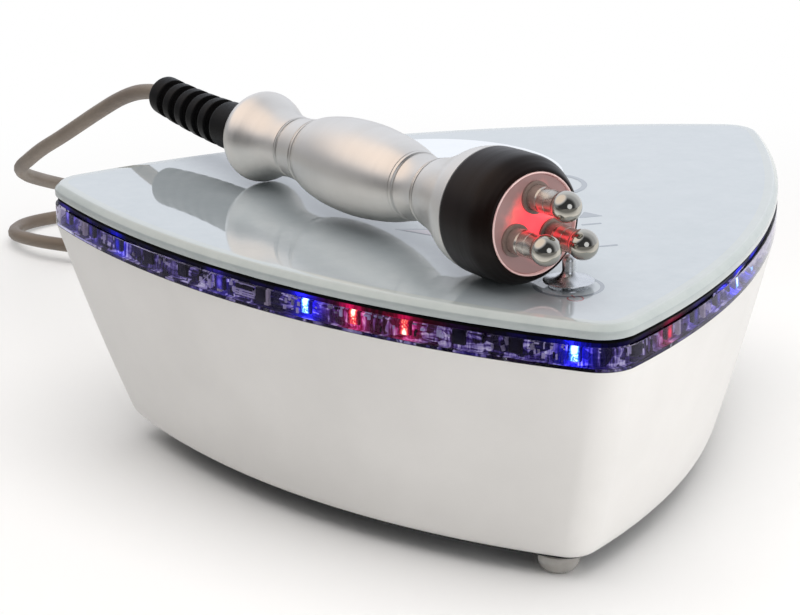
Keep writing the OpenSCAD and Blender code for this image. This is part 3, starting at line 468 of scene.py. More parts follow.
def box_bm(x, y, z, round_r=0.0):
    """Box between two x, two y and two z values; round_r rounds the four edges that run along Y."""
    bm = bmesh.new()
    bmesh.ops.create_cube(bm, size=1)
    bmesh.ops.scale(bm, vec=(x[1] - x[0], y[1] - y[0], z[1] - z[0]), verts=bm.verts)
    bmesh.ops.translate(bm, vec=((x[0] + x[1]) / 2, (y[0] + y[1]) / 2, (z[0] + z[1]) / 2), verts=bm.verts)
    if round_r:
        along = [e for e in bm.edges if abs(e.verts[0].co.y - e.verts[1].co.y) > 0.5 * (y[1] - y[0])]
        bmesh.ops.bevel(bm, geom=along, offset=round_r, offset_type="OFFSET", segments=4, profile=0.5,
                        affect="EDGES", material=-1)
    return bm


def rod_bm(at, radius, length, axis="Z"):
    """Round rod from a point along an axis."""
    bm = bmesh.new()
    turn = Matrix.Rotation(math.radians(-90), 4, "X") if axis == "Y" else Matrix.Identity(4)
    bmesh.ops.create_cone(bm, cap_ends=True, segments=64, radius1=radius, radius2=radius, depth=length,
                          matrix=Matrix.Translation(at) @ turn @ Matrix.Translation((0, 0, length / 2)))
    return bm


# ---- cord: from the handpiece, in two loops behind the left corner, through a coil, to the rear plug ----
CORD_R = 3.25
CORD_EXIT = Vector((-95.01, 144.03, 124.62))
CORD_ROUTE = [
    (-95.35, 145, 124.7), (-98.6, 154.5, 123.6), (-103, 166, 120.6), (-108, 179, 115), (-114, 194, 106.6),
    (-120, 211, 97), (-126, 229, 87), (-132, 248, 77), (-136, 267, 67), (-137, 287, 58), (-132, 307, 49),
    (-123, 325, 41), (-112, 341, 33.5), (-97, 355, 25.5), (-78, 364, 17), (-56, 367, 9), (-34, 361, 4),
    (-15, 346, 3.3), (-6.5, 323, 3.3), (-15, 299.5, 3.3), (-37, 287, 3.3), (-64, 292, 4.5), (-89, 302, 7),
    (-110, 315, 8.5), (-126, 331, 8.2), (-133, 352, 6.2), (-124.5, 373, 4.2), (-105, 384, 3.3),
    (-79, 387, 3.3), (-50, 389, 3.3), (-20, 386, 3.3), (8, 375, 3.3), (27, 356, 3.3), (36, 330, 3.3),
    (38, 300, 3.3), (37, 270, 3.3), (34.9, 244.2, 3.3)]
TAIL_ROUTE = [
    (54, 262.75, 10.6), (36, 262.9, 10.4), (14, 257.6, 7.4), (-6, 246.5, 4.2), (-23, 230, 5.6),
    (-34, 213, 12.4), (-39.5, 199.5, 21.6), (-41.7, 189, 30.2), (SOCKET_X, 180.5, 36.6),
    (SOCKET_X, 172.8, 40.4), (SOCKET_X, 165.65, SOCKET_Z), (SOCKET_X, 160, SOCKET_Z)]
COIL_AT = (75, 222)
# The coil's turns as (angle, radius, height): outer turn, inner turn, then one on top that leads out
COIL_KEYS = [
    (165, 42.9, 3.3), (185, 40.4, 3.3), (215, 39.4, 3.3), (432, 39.4, 3.3), (512, 32.8, 3.3),
    (770, 32.8, 3.3), (825, 33.2, 9.9), (872, 35, 9.9), (895, 36, 9.2), (1120, 36, 9.1),
    (1160, 39.8, 10.2), (1185, 43.6, 10.5)]


def coil_points():
    """The coil's turns, eased from each key to the next."""
    out = []
    for (a0, r0, z0), (a1, r1, z1) in zip(COIL_KEYS, COIL_KEYS[1:]):
        steps = max(1, round((a1 - a0) / 12))
        for k in range(steps):
            t = k / steps
            ease = t * t * (3 - 2 * t)
            a, r = math.radians(a0 + (a1 - a0) * t), r0 + (r1 - r0) * ease
            out.append((COIL_AT[0] + r * math.cos(a), COIL_AT[1] + r * math.sin(a), z0 + (z1 - z0) * ease))
    return out


inside_relief = CORD_EXIT + 4 * Vector((0.33, -0.939, -0.102))
cord_line = evenly(catmull([inside_relief] + CORD_ROUTE + coil_points() + TAIL_ROUTE, 8), 3.0)


def cord_piece():
    """The whole cord as one tube along its line."""
    data = bpy.data.curves.new("cord_line", "CURVE")
    data.dimensions = "3D"
    data.bevel_depth = CORD_R * MM
    data.bevel_resolution = 4
    data.use_fill_caps = True
    spline = data.splines.new("POLY")
    spline.points.add(len(cord_line) - 1)
    for point, p in zip(spline.points, cord_line):
        point.co = (*(p * MM), 1)
    curve = bpy.data.objects.new("cord_line", data)
    scene.collection.objects.link(curve)
    bpy.context.view_layer.update()
    mesh = bpy.data.meshes.new_from_object(curve.evaluated_get(bpy.context.evaluated_depsgraph_get()))
    bpy.data.objects.remove(curve)
    bm = bmesh.new()
    bm.from_mesh(mesh)
    bmesh.ops.scale(bm, vec=(1 / MM,) * 3, verts=bm.verts)
    bpy.data.meshes.remove(mesh)
    return make(bm, "cord", [cord_pvc], angle=50)


cord = cord_piece()
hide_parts("handpiece_cord", "cord_coil", "cord_tail")
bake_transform(cord)


def coil_ties():
    """Two soft ties that hold the coil's turns together."""
    # Radii and heights of the ties' outer faces
    r0, r1, z0, z1 = 28.6, 43.6, 0.1, 13.4
    wide, thick, round_r = 9, 0.9, 3.5
    bm = bmesh.new()
    for turn in (236, 338):
        rings = []
        for offset, grow in ((-wide / 2, 0), (wide / 2, 0), (wide / 2, -thick), (-wide / 2, -thick)):
            section = []
            for cr, cz, start in ((r1, z1, 0), (r0, z1, 90), (r0, z0, 180), (r1, z0, 270)):
                sr, sz = (1 if cr == r1 else -1), (1 if cz == z1 else -1)
                for k in range(5):
                    a = math.radians(start + 22.5 * k)
                    section.append((cr - sr * round_r + (round_r + grow) * math.cos(a), offset,
                                    cz - sz * round_r + (round_r + grow) * math.sin(a)))
            rings.append(section)
        part = bmesh.new()
        stack(part, rings, closed=True)
        place = Matrix.Translation((*COIL_AT, 0)) @ Matrix.Rotation(math.radians(turn), 4, "Z")
        bmesh.ops.transform(part, matrix=place, verts=part.verts)
        absorb(bm, part)
    return make(bm, "coil_ties", [tie_cloth], angle=40)


ties = settle(coil_ties(), "console", "relief_rubber")

# ---- outline of the console ----
HALF_W, SIDE_Y, FRONT_Y, CORNER_R, SIDE_BOW, BACK_BOW = 150, 91.4, 114.4, 14.5, 366, 428
side_corner = Vector((HALF_W - CORNER_R, SIDE_Y))
front_corner = Vector((0, -FRONT_Y))
side_run = side_corner - front_corner
side_c = ((side_corner + front_corner) / 2 + Vector((-side_run.y, side_run.x)).normalized()
          * math.sqrt((SIDE_BOW - CORNER_R) ** 2 - (side_run.length / 2) ** 2))
back_c = Vector((0, SIDE_Y - math.sqrt((BACK_BOW - CORNER_R) ** 2 - side_corner.x ** 2)))
front_a = math.atan2(front_corner.y - side_c.y, front_corner.x - side_c.x)
corner_a = math.atan2(side_corner.y - side_c.y, side_corner.x - side_c.x)
back_a = math.atan2(side_corner.y - back_c.y, side_corner.x)


def outline(inset=0.0, side_n=44, corner_n=14):
    """The three-cornered outline, moved inwards by inset."""
    pi, mirror = math.pi, Vector((-1, 1))
    arcs = ((side_c, SIDE_BOW, front_a, corner_a, side_n),
            (side_corner, CORNER_R, corner_a, back_a, corner_n),
            (back_c, BACK_BOW, back_a, pi - back_a, side_n),
            (side_corner * mirror, CORNER_R, pi - back_a, pi - corner_a, corner_n),
            (side_c * mirror, SIDE_BOW, pi - corner_a, pi - front_a, side_n),
            (front_corner, CORNER_R, pi - front_a, 2 * pi + front_a, corner_n))
    out = []
    for centre, radius, a0, a1, n in arcs:
        for k in range(n):
            a = a0 + (a1 - a0) * k / n
            out.append(centre + (radius - inset) * Vector((math.cos(a), math.sin(a))))
    return out


def level(inset, z, **counts):
    """The outline at a height."""
    return [(p.x, p.y, z) for p in outline(inset, **counts)]


def at_side(f, inset, side):
    """Point and outward angle on a bowed side; f runs from the front corner (0) to a side corner (1)."""
    a = front_a + (corner_a - front_a) * f
    r = SIDE_BOW - inset
    return (Vector((side * (side_c.x + r * math.cos(a)), side_c.y + r * math.sin(a), 0)),
            a if side > 0 else math.pi - a)


def at_back(f, inset):
    """Point and outward angle on the bowed back; f runs from the right corner (0) to the left one (1)."""
    a = back_a + (math.pi - 2 * back_a) * f
    r = BACK_BOW - inset
    return Vector((back_c.x + r * math.cos(a), back_c.y + r * math.sin(a), 0)), a


# ---- moulded case ----
CASE_Z, CASE_H, TAPER, BACK_SHIFT = 8.0, 80.4, 0.185, 2.9
CASE_WALL, FLOOR_Z = 2.8, 11
LEDGE_W, LEDGE_T = 11, 2.4


def case_ring(z, inset):
    """The case's outline at a height: smaller and further back towards its base."""
    t = (BAND_Z - z) / CASE_H
    s = 1 - TAPER * (0.854 * t + 0.146 * t * t)
    return [(p.x * s, p.y * s + BACK_SHIFT * t, z) for p in outline(inset)]


def case_piece():
    """Thin-walled case with a ledge on top, a well in its floor, and a recess for the rear connectors."""
    round_r, lip, well_s = 6.0, 0.5, 0.66
    outer = [case_ring(CASE_Z + round_r * (1 - math.cos(math.radians(b))),
                       round_r * (1 - math.sin(math.radians(b))))
             for b in range(0, 91, 15)]
    outer += [case_ring(CASE_Z + round_r + (CASE_H - round_r - lip) * k / 10, 0) for k in range(1, 11)]
    top = [level(lip * 0.3, BAND_Z - lip * 0.3), level(lip, BAND_Z), level(lip + 0.6, BAND_Z),
           level(LEDGE_W, BAND_Z), level(LEDGE_W, BAND_Z - LEDGE_T)]
    inner = [case_ring(z, CASE_WALL) for z in (BAND_Z - LEDGE_T, 58, 32, FLOOR_Z)]
    well = [[(p.x * well_s, p.y * well_s, z) for p in outline(4)] for z in (FLOOR_Z, CASE_Z)]
    bm = bmesh.new()
    stack(bm, outer + top + inner + well, closed=True)
    case = make(bm, "case_shell", [white_abs, black_foam])
    for face in case.data.polygons:
        face.material_index = int(face.normal.z > 0.9 and face.center.z / MM > BAND_Z - 0.1)
    # A thick boss behind the connectors, a recess with rounded corners, and the holes for both connectors
    boss_bm = bmesh.new()
    stack(boss_bm, [case_ring(z, 1.0) for z in (21, 41, 61)])
    boss = make(boss_bm, "boss")
    carve(boss, [make(box_bm((-67, 79), (106, 150), (19, 63)), "tool")], "INTERSECT")
    carve(case, [boss], "UNION")
    hole_y, hole_deep = 104, 12
    recess = make(box_bm((-64, 76), (114, 150), (24, 58), 4), "tool")
    inlet_hole = make(box_bm((29.1, 58.9), (hole_y, hole_y + hole_deep), (30.1, 51.9)), "tool")
    socket_hole = make(rod_bm((SOCKET_X, hole_y, SOCKET_Z), 8.1, hole_deep, "Y"), "tool")
    carve(case, [recess, inlet_hole, socket_hole])
    return case


settle(case_piece(), "console", "case_white", "case_tub")

# ---- light band: clear wall, lit lining, small parts ----
LINING_INSET = 4.2


def band_piece():
    """Clear wall of the light band, with a thin floor that lies on the case's ledge."""
    edge, wall, floor_t = 0.2, 2.4, 0.4
    z0, z1 = BAND_Z + 0.02, BAND_Z + BAND_H
    bm = bmesh.new()
    stack(bm, [level(edge, z0), level(0.06, z0 + 0.06), level(0, z0 + edge), level(0, z1 - edge),
               level(0.06, z1 - 0.06), level(edge, z1), level(wall, z1), level(wall, z0 + floor_t),
               level(LEDGE_W, z0 + floor_t), level(LEDGE_W, z0)], closed=True)
    return make(bm, "light_band", [smoked])


settle(band_piece(), "console", "smoked_acrylic", "light_ring")

LAMP_INSET, LAMP_Z = 3.4, BAND_Z + 4.7
# Depth, width and height of a lamp
LAMP_SIZE = (1.4, 5, 5)
# Lamps on a side: place of the first, distance to the next and number
LAMP_START, LAMP_PITCH, LAMP_N = 0.02, 0.08, 13
# Lamps by side (-1 left, 1 right) and place from the front: brightness, and the bright spot's height in 0..1
BLUE = {(-1, 0): (1, 0.85), (-1, 5): (1, 0.9), (-1, 10): (0.3, 0.5), (1, 4): (0.95, 0.5),
        (1, 5): (0.75, 0.4), (1, 9): (0.4, 0.5)}
RED = {(-1, 3): (1, 0.15), (-1, 4): (1, 0.85), (1, 1): (0.6, 0.4), (1, 8): (0.5, 0.5)}
VIOLET = {(-1, 12): (0.8, 0.7), (-1, 11): (0.45, 0.5), (-1, 7): (0.7, 0.5), (1, 2): (0.5, 0.5),
          (1, 3): (0.55, 0.5), (1, 6): (0.4, 0.5), (1, 7): (0.35, 0.5)}
UNLIT = (0.06, 0.5)
lamp_rows = {"blue": [], "red": [], "violet": []}
for side in (-1, 1):
    for i in range(LAMP_N):
        kind = "blue" if (side, i) in BLUE else "red" if (side, i) in RED else "violet"
        glow = {**BLUE, **RED, **VIOLET}.get((side, i), UNLIT)
        lamp_rows[kind].append((*at_side(LAMP_START + LAMP_PITCH * i, LAMP_INSET, side), *glow))
lamp_rows["violet"] += [(*at_back(0.08 + 0.14 * i, LAMP_INSET), 0.4, 0.5) for i in range(7)]


def lamps_piece(name, rows, mat):
    """Square lamp bodies that face outwards; each keeps where its light comes from."""
    bm = bmesh.new()
    for spot, a, _, _ in rows:
        place = Matrix.Translation(spot + Vector((0, 0, LAMP_Z))) @ Matrix.Rotation(a, 4, "Z")
        made = bmesh.ops.create_cube(bm, size=1, matrix=place @ Matrix.Diagonal((*LAMP_SIZE, 1)))
        edges = {e for v in made["verts"] for e in v.link_edges}
        bmesh.ops.bevel(bm, geom=list(edges), offset=0.35, offset_type="OFFSET", segments=2, profile=0.5,
                        affect="EDGES", material=-1)
    obj = make(bm, name, [mat])
    mesh = obj.data
    lit = mesh.attributes.new("lit", "FLOAT_COLOR", "POINT")
    place = []
    for v in mesh.vertices:
        here = v.co / MM
        spot, a, glow, height = min(rows, key=lambda row: (row[0].x - here.x) ** 2 + (row[0].y - here.y) ** 2)
        lit.data[v.index].color = (glow, height, 0, 1)
        place.append(((here - spot).dot(Vector((-math.sin(a), math.cos(a), 0))), here.z - LAMP_Z))
    uv = mesh.uv_layers.new(name="face")
    for corner in mesh.loops:
        uv.data[corner.index].uv = place[corner.vertex_index]
    return obj


for kind, mat in (("blue", lamp_blue), ("red", lamp_red), ("violet", lamp_violet)):
    settle(lamps_piece(kind + "_lamps", lamp_rows[kind], mat), "console", "lamp_" + kind, kind + "_leds")

# How far a lamp's near light, its far light and any light of it reach along the band
NEAR_REACH, FAR_REACH, LAST_REACH = 4, 8, 45
# Light spilt by a lamp: colour, strength near it and strength further off
SPILL = {"blue": ("1c20ff", 3.0, 0.24), "red": ("e8185c", 1.1, 0.2), "violet": ("5240e0", 0.7, 0.16)}
DENSE = dict(side_n=180, corner_n=22)
dense_ring = outline(LINING_INSET, **DENSE)
ring_run = [0.0]
for a, b in zip(dense_ring, dense_ring[1:] + dense_ring[:1]):
    ring_run.append(ring_run[-1] + (b - a).length)
ring_tree = KDTree(len(dense_ring))
for k, p in enumerate(dense_ring):
    ring_tree.insert((p.x, p.y, 0), k)
ring_tree.balance()


def keep_light(obj, low, high):
    """Stores the lamp light painted on each point, and how far along the ring and how high it lies."""
    mesh = obj.data
    spill = mesh.attributes.new("spill", "FLOAT_COLOR", "POINT")
    where, found = [], {}
    for v in mesh.vertices:
        x, y, z = v.co / MM
        k = ring_tree.find((x, y, 0))[1]
        where.append((ring_run[k], z - (dense_ring[k] - Vector((x, y))).length if z < low + 0.15 else z))
        if k not in found:
            found[k] = Vector((0.0, 0.0, 0.0))
            for kind, rows in lamp_rows.items():
                shade, near, far = SPILL[kind]
                for spot, _, glow, _ in rows:
                    d = (spot.xy - dense_ring[k]).length
                    if d < LAST_REACH:
                        level_here = near * math.exp(-(d / NEAR_REACH) ** 2) + far * math.exp(-d / FAR_REACH)
                        found[k] += Vector(linear(shade)[:3]) * glow * level_here
        fade = 1 - 0.3 * abs(2 * (z - low) / (high - low) - 1)
        spill.data[v.index].color = (*(found[k] * fade), 1)
    uv = mesh.uv_layers.new(name="run")
    for face in mesh.polygons:
        runs = [where[mesh.loops[i].vertex_index][0] for i in face.loop_indices]
        wrap = max(runs) - min(runs) > ring_run[-1] / 2
        for i, r in zip(face.loop_indices, runs):
            z = where[mesh.loops[i].vertex_index][1]
            uv.data[i].uv = (r + (ring_run[-1] if wrap and r < ring_run[-1] / 2 else 0), z - low)
    return obj


def lining_piece():
    """Strip behind the lamps."""
    rows = 6
    z0, z1 = BAND_Z + 0.5, BAND_Z + BAND_H - 0.05
    rings = [level(2.5, z0, **DENSE), level(2.5, z0 + 0.05, **DENSE), level(3.4, z0 + 0.1, **DENSE)]
    rings += [level(LINING_INSET, z0 + 0.1 + (z1 - z0 - 0.1) * k / rows, **DENSE) for k in range(rows + 1)]
    rings += [level(LINING_INSET + 0.8, z, **DENSE) for z in (z1, z0)]
    bm = bmesh.new()
    stack(bm, rings, closed=True)
    return keep_light(make(bm, "band_lining", [lining]), z0, z1)


settle(lining_piece(), "console", "lamp_strip", "led_strip")


def small_parts():
    """Soldered chips, pads, leads and post fronts that stand on the lining; most of them glow with painted
    lamp light.

    A row holds place, side, width, height, depth, z, material and tilt.
    """
    rng = random.Random(11)
    rows = []
    per_side = 120
    for side in (-1, 1):
        for _ in range(per_side):
            rows.append((rng.uniform(0.0, 0.985), side, rng.uniform(0.3, 1.8), rng.uniform(0.4, 2.2),
                         rng.uniform(0.25, 0.8), BAND_Z + rng.uniform(2.0, 6.9),
                         rng.choice((0, 0, 0, 1, 2)), 0))
    # Those with their middle within lamp_gap of a lamp's middle are left out
    lamp_gap = 0.012
    lamps = [LAMP_START + LAMP_PITCH * i for i in range(LAMP_N)]
    rows = [row for row in rows if all(abs(row[0] - f) > lamp_gap for f in lamps)]
    # Post fronts, then the long pale clips, the leads that cross and the comb of pads by the front corner
    rows += [(f, -1, 1.9, 6.7, 1.4, LAMP_Z, 3, 0) for f in (0.925, 0.582, 0.49)]
    rows += [(f, 1, 1.5, 6.7, 1.4, LAMP_Z, 3, 0) for f in (0.13, 0.21, 0.5, 0.88)]
    rows += [(0.535, -1, 9.5, 0.35, 0.5, BAND_Z + z, 0, 0) for z in (2.2, 3.0, 3.9, 6.3)]
    rows += [(0.535, -1, 9.0, 1.3, 0.4, BAND_Z + 5.1, 1, 0)]
    rows += [(0.612, -1, 11.5, 0.22, 0.3, LAMP_Z - 0.2, 0, 38), (0.6, -1, 9, 0.2, 0.3, LAMP_Z - 1.6, 0, 18)]
    rows += [(0.004 + 0.0062 * k, 1, 0.75, 3.4 - 0.35 * k, 0.6, LAMP_Z, 0, 0) for k in range(5)]
    rows += [(f, -1, 1.3, high, 0.8, BAND_Z + z, 2, 20)
             for f, high, z in ((0.078, 2.0, 5.2), (0.113, 2.2, 5.6), (0.118, 1.9, 3.2), (0.172, 1.8, 6.0))]
    bm = bmesh.new()
    for f, side, wide, high, deep, z, kind, tilt in rows:
        spot, a = at_side(f, LINING_INSET - deep / 2 + 0.05, side)
        place = (Matrix.Translation(spot + Vector((0, 0, z))) @ Matrix.Rotation(a, 4, "Z")
                 @ Matrix.Rotation(math.radians(tilt), 4, "X"))
        made = bmesh.ops.create_cube(bm, size=1, matrix=place @ Matrix.Diagonal((deep, wide, high, 1)))
        for face in {face for v in made["verts"] for face in v.link_faces}:
            face.material_index = kind
    return make(bm, "lining_parts", [lit_tin, black_plastic, board_white, lit_post], angle=20)


settle(small_parts(), "console", "nickel_post")

# ---- black frame and glass top ----


def frame_piece():
    """Black frame; the lower part of its wall carries painted light of the lamps under it."""
    z0, z1 = FRAME_Z + 0.01, FRAME_Z + FRAME_H
    section = ((1.3, z0), (1, z0 + 0.3), (1, z0 + 1.7), (1, z1 - 0.3), (1.3, z1), (LEDGE_W, z1),
               (LEDGE_W, z0))
    bm = bmesh.new()
    stack(bm, [level(inset, z, **DENSE) for inset, z in section], closed=True)
    obj = make(bm, "black_frame", [black_foam, frame_lit])
    # The lower part of the wall takes the painted lamp light
    for face in obj.data.polygons:
        face.material_index = int(face.center.z / MM < z0 + 1.6 and abs(face.normal.z) < 0.9)
    return keep_light(obj, z0 - 3, z0 + 3)


settle(frame_piece(), "console", "gasket_black", "gasket_frame")
MARGIN = 5.4


def outside(c, ring):
    """Whether a point lies outside a closed ring of points."""
    odd = False
    for a, b in zip(ring, ring[1:] + ring[:1]):
        if (a.y > c.y) != (b.y > c.y) and c.x < (b.x - a.x) * (c.y - a.y) / (b.y - a.y) + a.x:
            odd = not odd
    return not odd


def glass_piece():
    """Glass slab with a ground edge, a ground arris all round and a hole for the button's tube."""
    arris, low, hole_r = 2.3, 0.5, 6.0
    rings = [level(low + 0.4, GLASS_Z), level(low, GLASS_Z), level(0.12, GLASS_Z + 0.15),
             level(0, GLASS_Z + low)]
    rings += [level(inset, TOP_Z - down) for inset, down in
              ((0, arris + 0.9), (0, arris + 0.2), (0.12, arris - 0.12), (0.35, arris - 0.42),
               (arris - 0.5, 0.42), (arris - 0.2, 0.17), (arris + 0.1, 0.04), (arris + 0.4, 0),
               (MARGIN, 0), (MARGIN + 0.5, 0))]
    bm = bmesh.new()
    stack(bm, rings)
    obj = make(bm, "glass_slab", [glass_face, glass_margin, glass_edge, glass_arris], angle=40)
    hole = make(rod_bm(BUTTON_AT + Vector((0, 0, GLASS_Z - 2)), hole_r, GLASS_T + 4), "tool")
    carve(obj, [hole], angle=40)
    inner = outline(MARGIN + 0.2)
    for face in obj.data.polygons:
        c = face.center / MM
        near = min((p.x - c.x) ** 2 + (p.y - c.y) ** 2 for p in inner)
        if c.z < TOP_Z - arris + 0.2:
            face.material_index = 2
        elif c.z < TOP_Z - 0.3:
            face.material_index = 3
        else:
            face.material_index = int(near < 5 ** 2 and len(face.vertices) < 6 and outside(c, inner))
    return obj


settle(glass_piece(), "console", "glass_clear", "glass_top")

INK_T = 0.04


def ink(bm, name, mat, place=None):
    """Finishes a printed mark on the glass."""
    settle(make(bm, name, [mat], place), "console", "film_print")


def ink_disc(name, at, radius, mat):
    """Printed disc."""
    bm = bmesh.new()
    bmesh.ops.create_cone(bm, cap_ends=True, segments=96, radius1=radius, radius2=radius, depth=INK_T,
                          matrix=Matrix.Translation((*at, TOP_Z + INK_T / 2)))
    ink(bm, name, mat)


def ink_ring(name, at, radius, wide, mat, coats=1):
    """Printed ring; a second coat brings it above the disc that it crosses."""
    bm = bmesh.new()
    top = TOP_Z + coats * INK_T
    spin(bm, [(radius - wide / 2, TOP_Z), (radius + wide / 2, TOP_Z), (radius + wide / 2, top),
              (radius - wide / 2, top)], 96)
    ink(bm, name, mat, Matrix.Translation((*at, 0)))


def ink_shape(bm, points, corner, lift):
    """Flat printed shape through its corners, with rounded corners."""
    verts = [bm.verts.new((*p, TOP_Z + lift)) for p in points]
    bm.faces.new(verts)
    if corner:
        bmesh.ops.bevel(bm, geom=verts, offset=corner, offset_type="OFFSET", segments=4, profile=0.5,
                        affect="VERTICES", material=-1)
    grown = bmesh.ops.extrude_face_region(bm, geom=bm.faces[:], use_keep_orig=True)
    raised = [g for g in grown["geom"] if isinstance(g, bmesh.types.BMVert)]
    bmesh.ops.translate(bm, vec=(0, 0, INK_T), verts=raised)


def ink_marks(name, shapes, mat, lift=0.0):
    """Printed shapes as one piece, each given as its points and the rounding of its corners."""
    bm = bmesh.new()
    for points, corner in shapes:
        part = bmesh.new()
        ink_shape(part, points, corner, lift)
        absorb(bm, part)
    ink(bm, name, mat)


def dash(x, y, long, wide):
    """Corners of a bar with its middle at x, y."""
    return [(x + a, y + b) for a, b in
            ((-long / 2, -wide / 2), (long / 2, -wide / 2), (long / 2, wide / 2), (-long / 2, wide / 2))]


ink_disc("print_display_disc", (0, 66.5), 50, ink_white)
ink_ring("print_key_ring", (35, 36.5), 15, 2.2, ink_grey, coats=2)
ink_ring("print_button_ring", BUTTON_AT.xy, 11.7, 1.5, ink_grey)
ink_marks("print_right_keys", [([(31, -10.5), (41, -10.5), (36, -3.2)], 0.8), (dash(33, -19, 8, 1.5), 0.6),
                               (dash(29, -46, 8, 1.5), 0.6)], ink_grey)
ink_marks("print_left_key", [([(-39.5, -4), (-27, -18), (-24.5, -8)], 0.9)], ink_grey)
ink_marks("print_left_key_fill", [([(-36.6, -6.4), (-28.2, -15.6), (-26.6, -9)], 0.5)], ink_pink,
          INK_T + 0.01)


def power_mark():
    """Generic on-off mark: a ring open at the top with a short bar."""
    x, y, outer_r, inner_r = -3, -99, 3.0, 2.4
    arc = [math.radians(a) for a in range(125, 416, 10)]
    ring = [(math.cos(a) * outer_r + x, math.sin(a) * outer_r + y) for a in arc]
    ring += [(math.cos(a) * inner_r + x, math.sin(a) * inner_r + y) for a in reversed(arc)]
    ink_marks("print_power_mark", [(ring, 0), (dash(x, y + inner_r, 0.6, 3.0), 0)], ink_red)


power_mark()

# ---- push button ----


def button_piece():
    """Chrome cap: a finger post that flares into a round skirt, with its stem and collar."""
    base = TOP_Z + 1.7
    profile = [(0, base), (8.3, base), (8.75, base + 0.1), (9, base + 0.4), (8.95, base + 0.62),
               (8.8, base + 0.72)]
    profile += [(8.8 - 6.45 * math.sin(math.radians(a)), base + 0.7 + 3.6 * (1 - math.cos(math.radians(a))))
                for a in range(6, 91, 7)]
    profile += [(2.35 * math.cos(math.radians(a)), base + 9.8 - 2.35 * (1 - math.sin(math.radians(a))))
                for a in range(0, 91, 10)]
    bm = bmesh.new()
    spin(bm, profile, 96, closed=False)
    stem = [(0, 91.3), (2.1, 91.3), (2.3, 91.5), (2.3, 96.4), (3.1, 96.4), (3.3, 96.6), (3.3, 97.7),
            (3.1, 97.9), (2.3, 97.9), (2.3, base + 0.1), (0, base + 0.1)]
    spin(bm, stem, 64, closed=False)
    return make(bm, "finger_button", [chrome], Matrix.Translation(BUTTON_AT), 35)


settle(button_piece(), "power_button", "chrome", "power_button")

# ---- feet ----
FOOT_AT = ((-3, -88.4), (96, 66), (-96, 66))


def feet_piece():
    """Three domed feet, each with a small flat below."""
    profile = [(0, 0.05), (4.3, 0.05)]
    profile += [(4.5 + 3.1 * math.sin(math.radians(a)), 4.75 * (1 - math.cos(math.radians(a))) + 0.05)
                for a in range(10, 91, 10)]
    profile += [(7.6, 6.3), (7.4, 6.59), (0, 6.59)]
    bm = bmesh.new()
    for x, y in FOOT_AT:
        part = bmesh.new()
        spin(part, profile, 64, closed=False)
        bmesh.ops.translate(part, vec=(x, y, 0), verts=part.verts)
        absorb(bm, part)
    return make(bm, "clear_feet", [clear_silicone], angle=35)


settle(feet_piece(), "console", "clear_rubber", "rubber_feet")

# ---- handpiece: turned pieces along one axis, as (distance along it, share of the radius) ----
EDGE, BORE_R = 0.45, 7.0
BULB_R, NECK_R, GRIP_R, HEAD_R = 17.8, 11.7, 17.7, 23
# Where the rear bulb, rear ring, grip, front ring, collar and head start, and where the face lies
REAR_U, RING_U, GRIP_U, FRONT_U, COLLAR_U, HEAD_U, FACE_U = -16.3, 21.2, 35.5, 97.8, 112.6, 141.9, 165.4
# A fine turned line, as (distance from its middle, depth)
LINE_FORM = ((-0.68, 0), (-0.5, -0.12), (-0.3, 0.05), (0, 0.62), (0.3, 0.05), (0.5, -0.12), (0.68, 0))


def turned(name, node, points, radius, lines=()):
    """Ring with a bore, broken edges and a smooth outside, with a fine turned line at each of lines."""
    curve = catmull([(u, r * radius) for u, r in points], 6)
    arc = [(math.sin(math.radians(a)) * EDGE, EDGE * (1 - math.cos(math.radians(a)))) for a in (0, 30, 60)]
    u0, r0, u1, r1 = curve[0][0], curve[0][1], curve[-1][0], curve[-1][1]
    body = [(p[1], p[0]) for p in curve
            if u0 + EDGE <= p[0] <= u1 - EDGE and all(abs(p[0] - u) > 0.8 for u in lines)]
    for u in lines:
        near = min(range(len(curve) - 1), key=lambda k: abs(curve[k][0] + curve[k + 1][0] - 2 * u))
        a, b = curve[near], curve[near + 1]
        for d, down in LINE_FORM:
            t = (u + d - a[0]) / (b[0] - a[0])
            body.append((a[1] + (b[1] - a[1]) * t - down, u + d))
    body.sort(key=lambda p: p[1])
    profile = [(BORE_R, u0)] + [(r0 - EDGE + a, u0 + b) for a, b in arc] + body
    profile += [(r1 - EDGE + a, u1 - b) for a, b in reversed(arc)] + [(BORE_R, u1)]
    bm = bmesh.new()
    spin(bm, profile, 128)
    settle(make(bm, name, [champagne], HAND_M, 22), "handpiece", "champagne_metal", node)


turned("bulb_turned", "rear_bulb",
       [(REAR_U, .579), (-14.3, .652), (-11.5, .753), (-7.7, .904), (-3.8, 1), (0, .966), (4.8, .854),
        (9.6, .758), (14.3, .702), (RING_U, .663)], BULB_R)
turned("rear_ring_turned", "rear_ring", [(RING_U, 1.009), (25, 1.026), (31, 1.085), (GRIP_U, 1.162)], NECK_R,
       (22.9, 33.7))
turned("grip_turned", "grip_barrel",
       [(GRIP_U, .768), (40.2, .864), (49.7, .960), (59.3, 1), (68.9, 1), (78.4, .955), (88, .876),
        (FRONT_U, .734)], GRIP_R)
turned("front_ring_turned", "front_ring",
       [(FRONT_U, 1.111), (101.5, 1.026), (105.2, 1), (109, 1.026), (COLLAR_U, 1.12)], NECK_R, (99.6, 110.9))
turned("collar_turned", "front_collar",
       [(COLLAR_U, .57), (118.6, .63), (126.3, .757), (133.9, .913), (138, .962), (HEAD_U, .991)], HEAD_R)

CUP_STEP_U = 161.4
HEAD_PTS = [(HEAD_U, .991), (148.9, 1), (153, 1), (158.8, .991), (162.6, .926), (164.6, .874), (166, .831)]


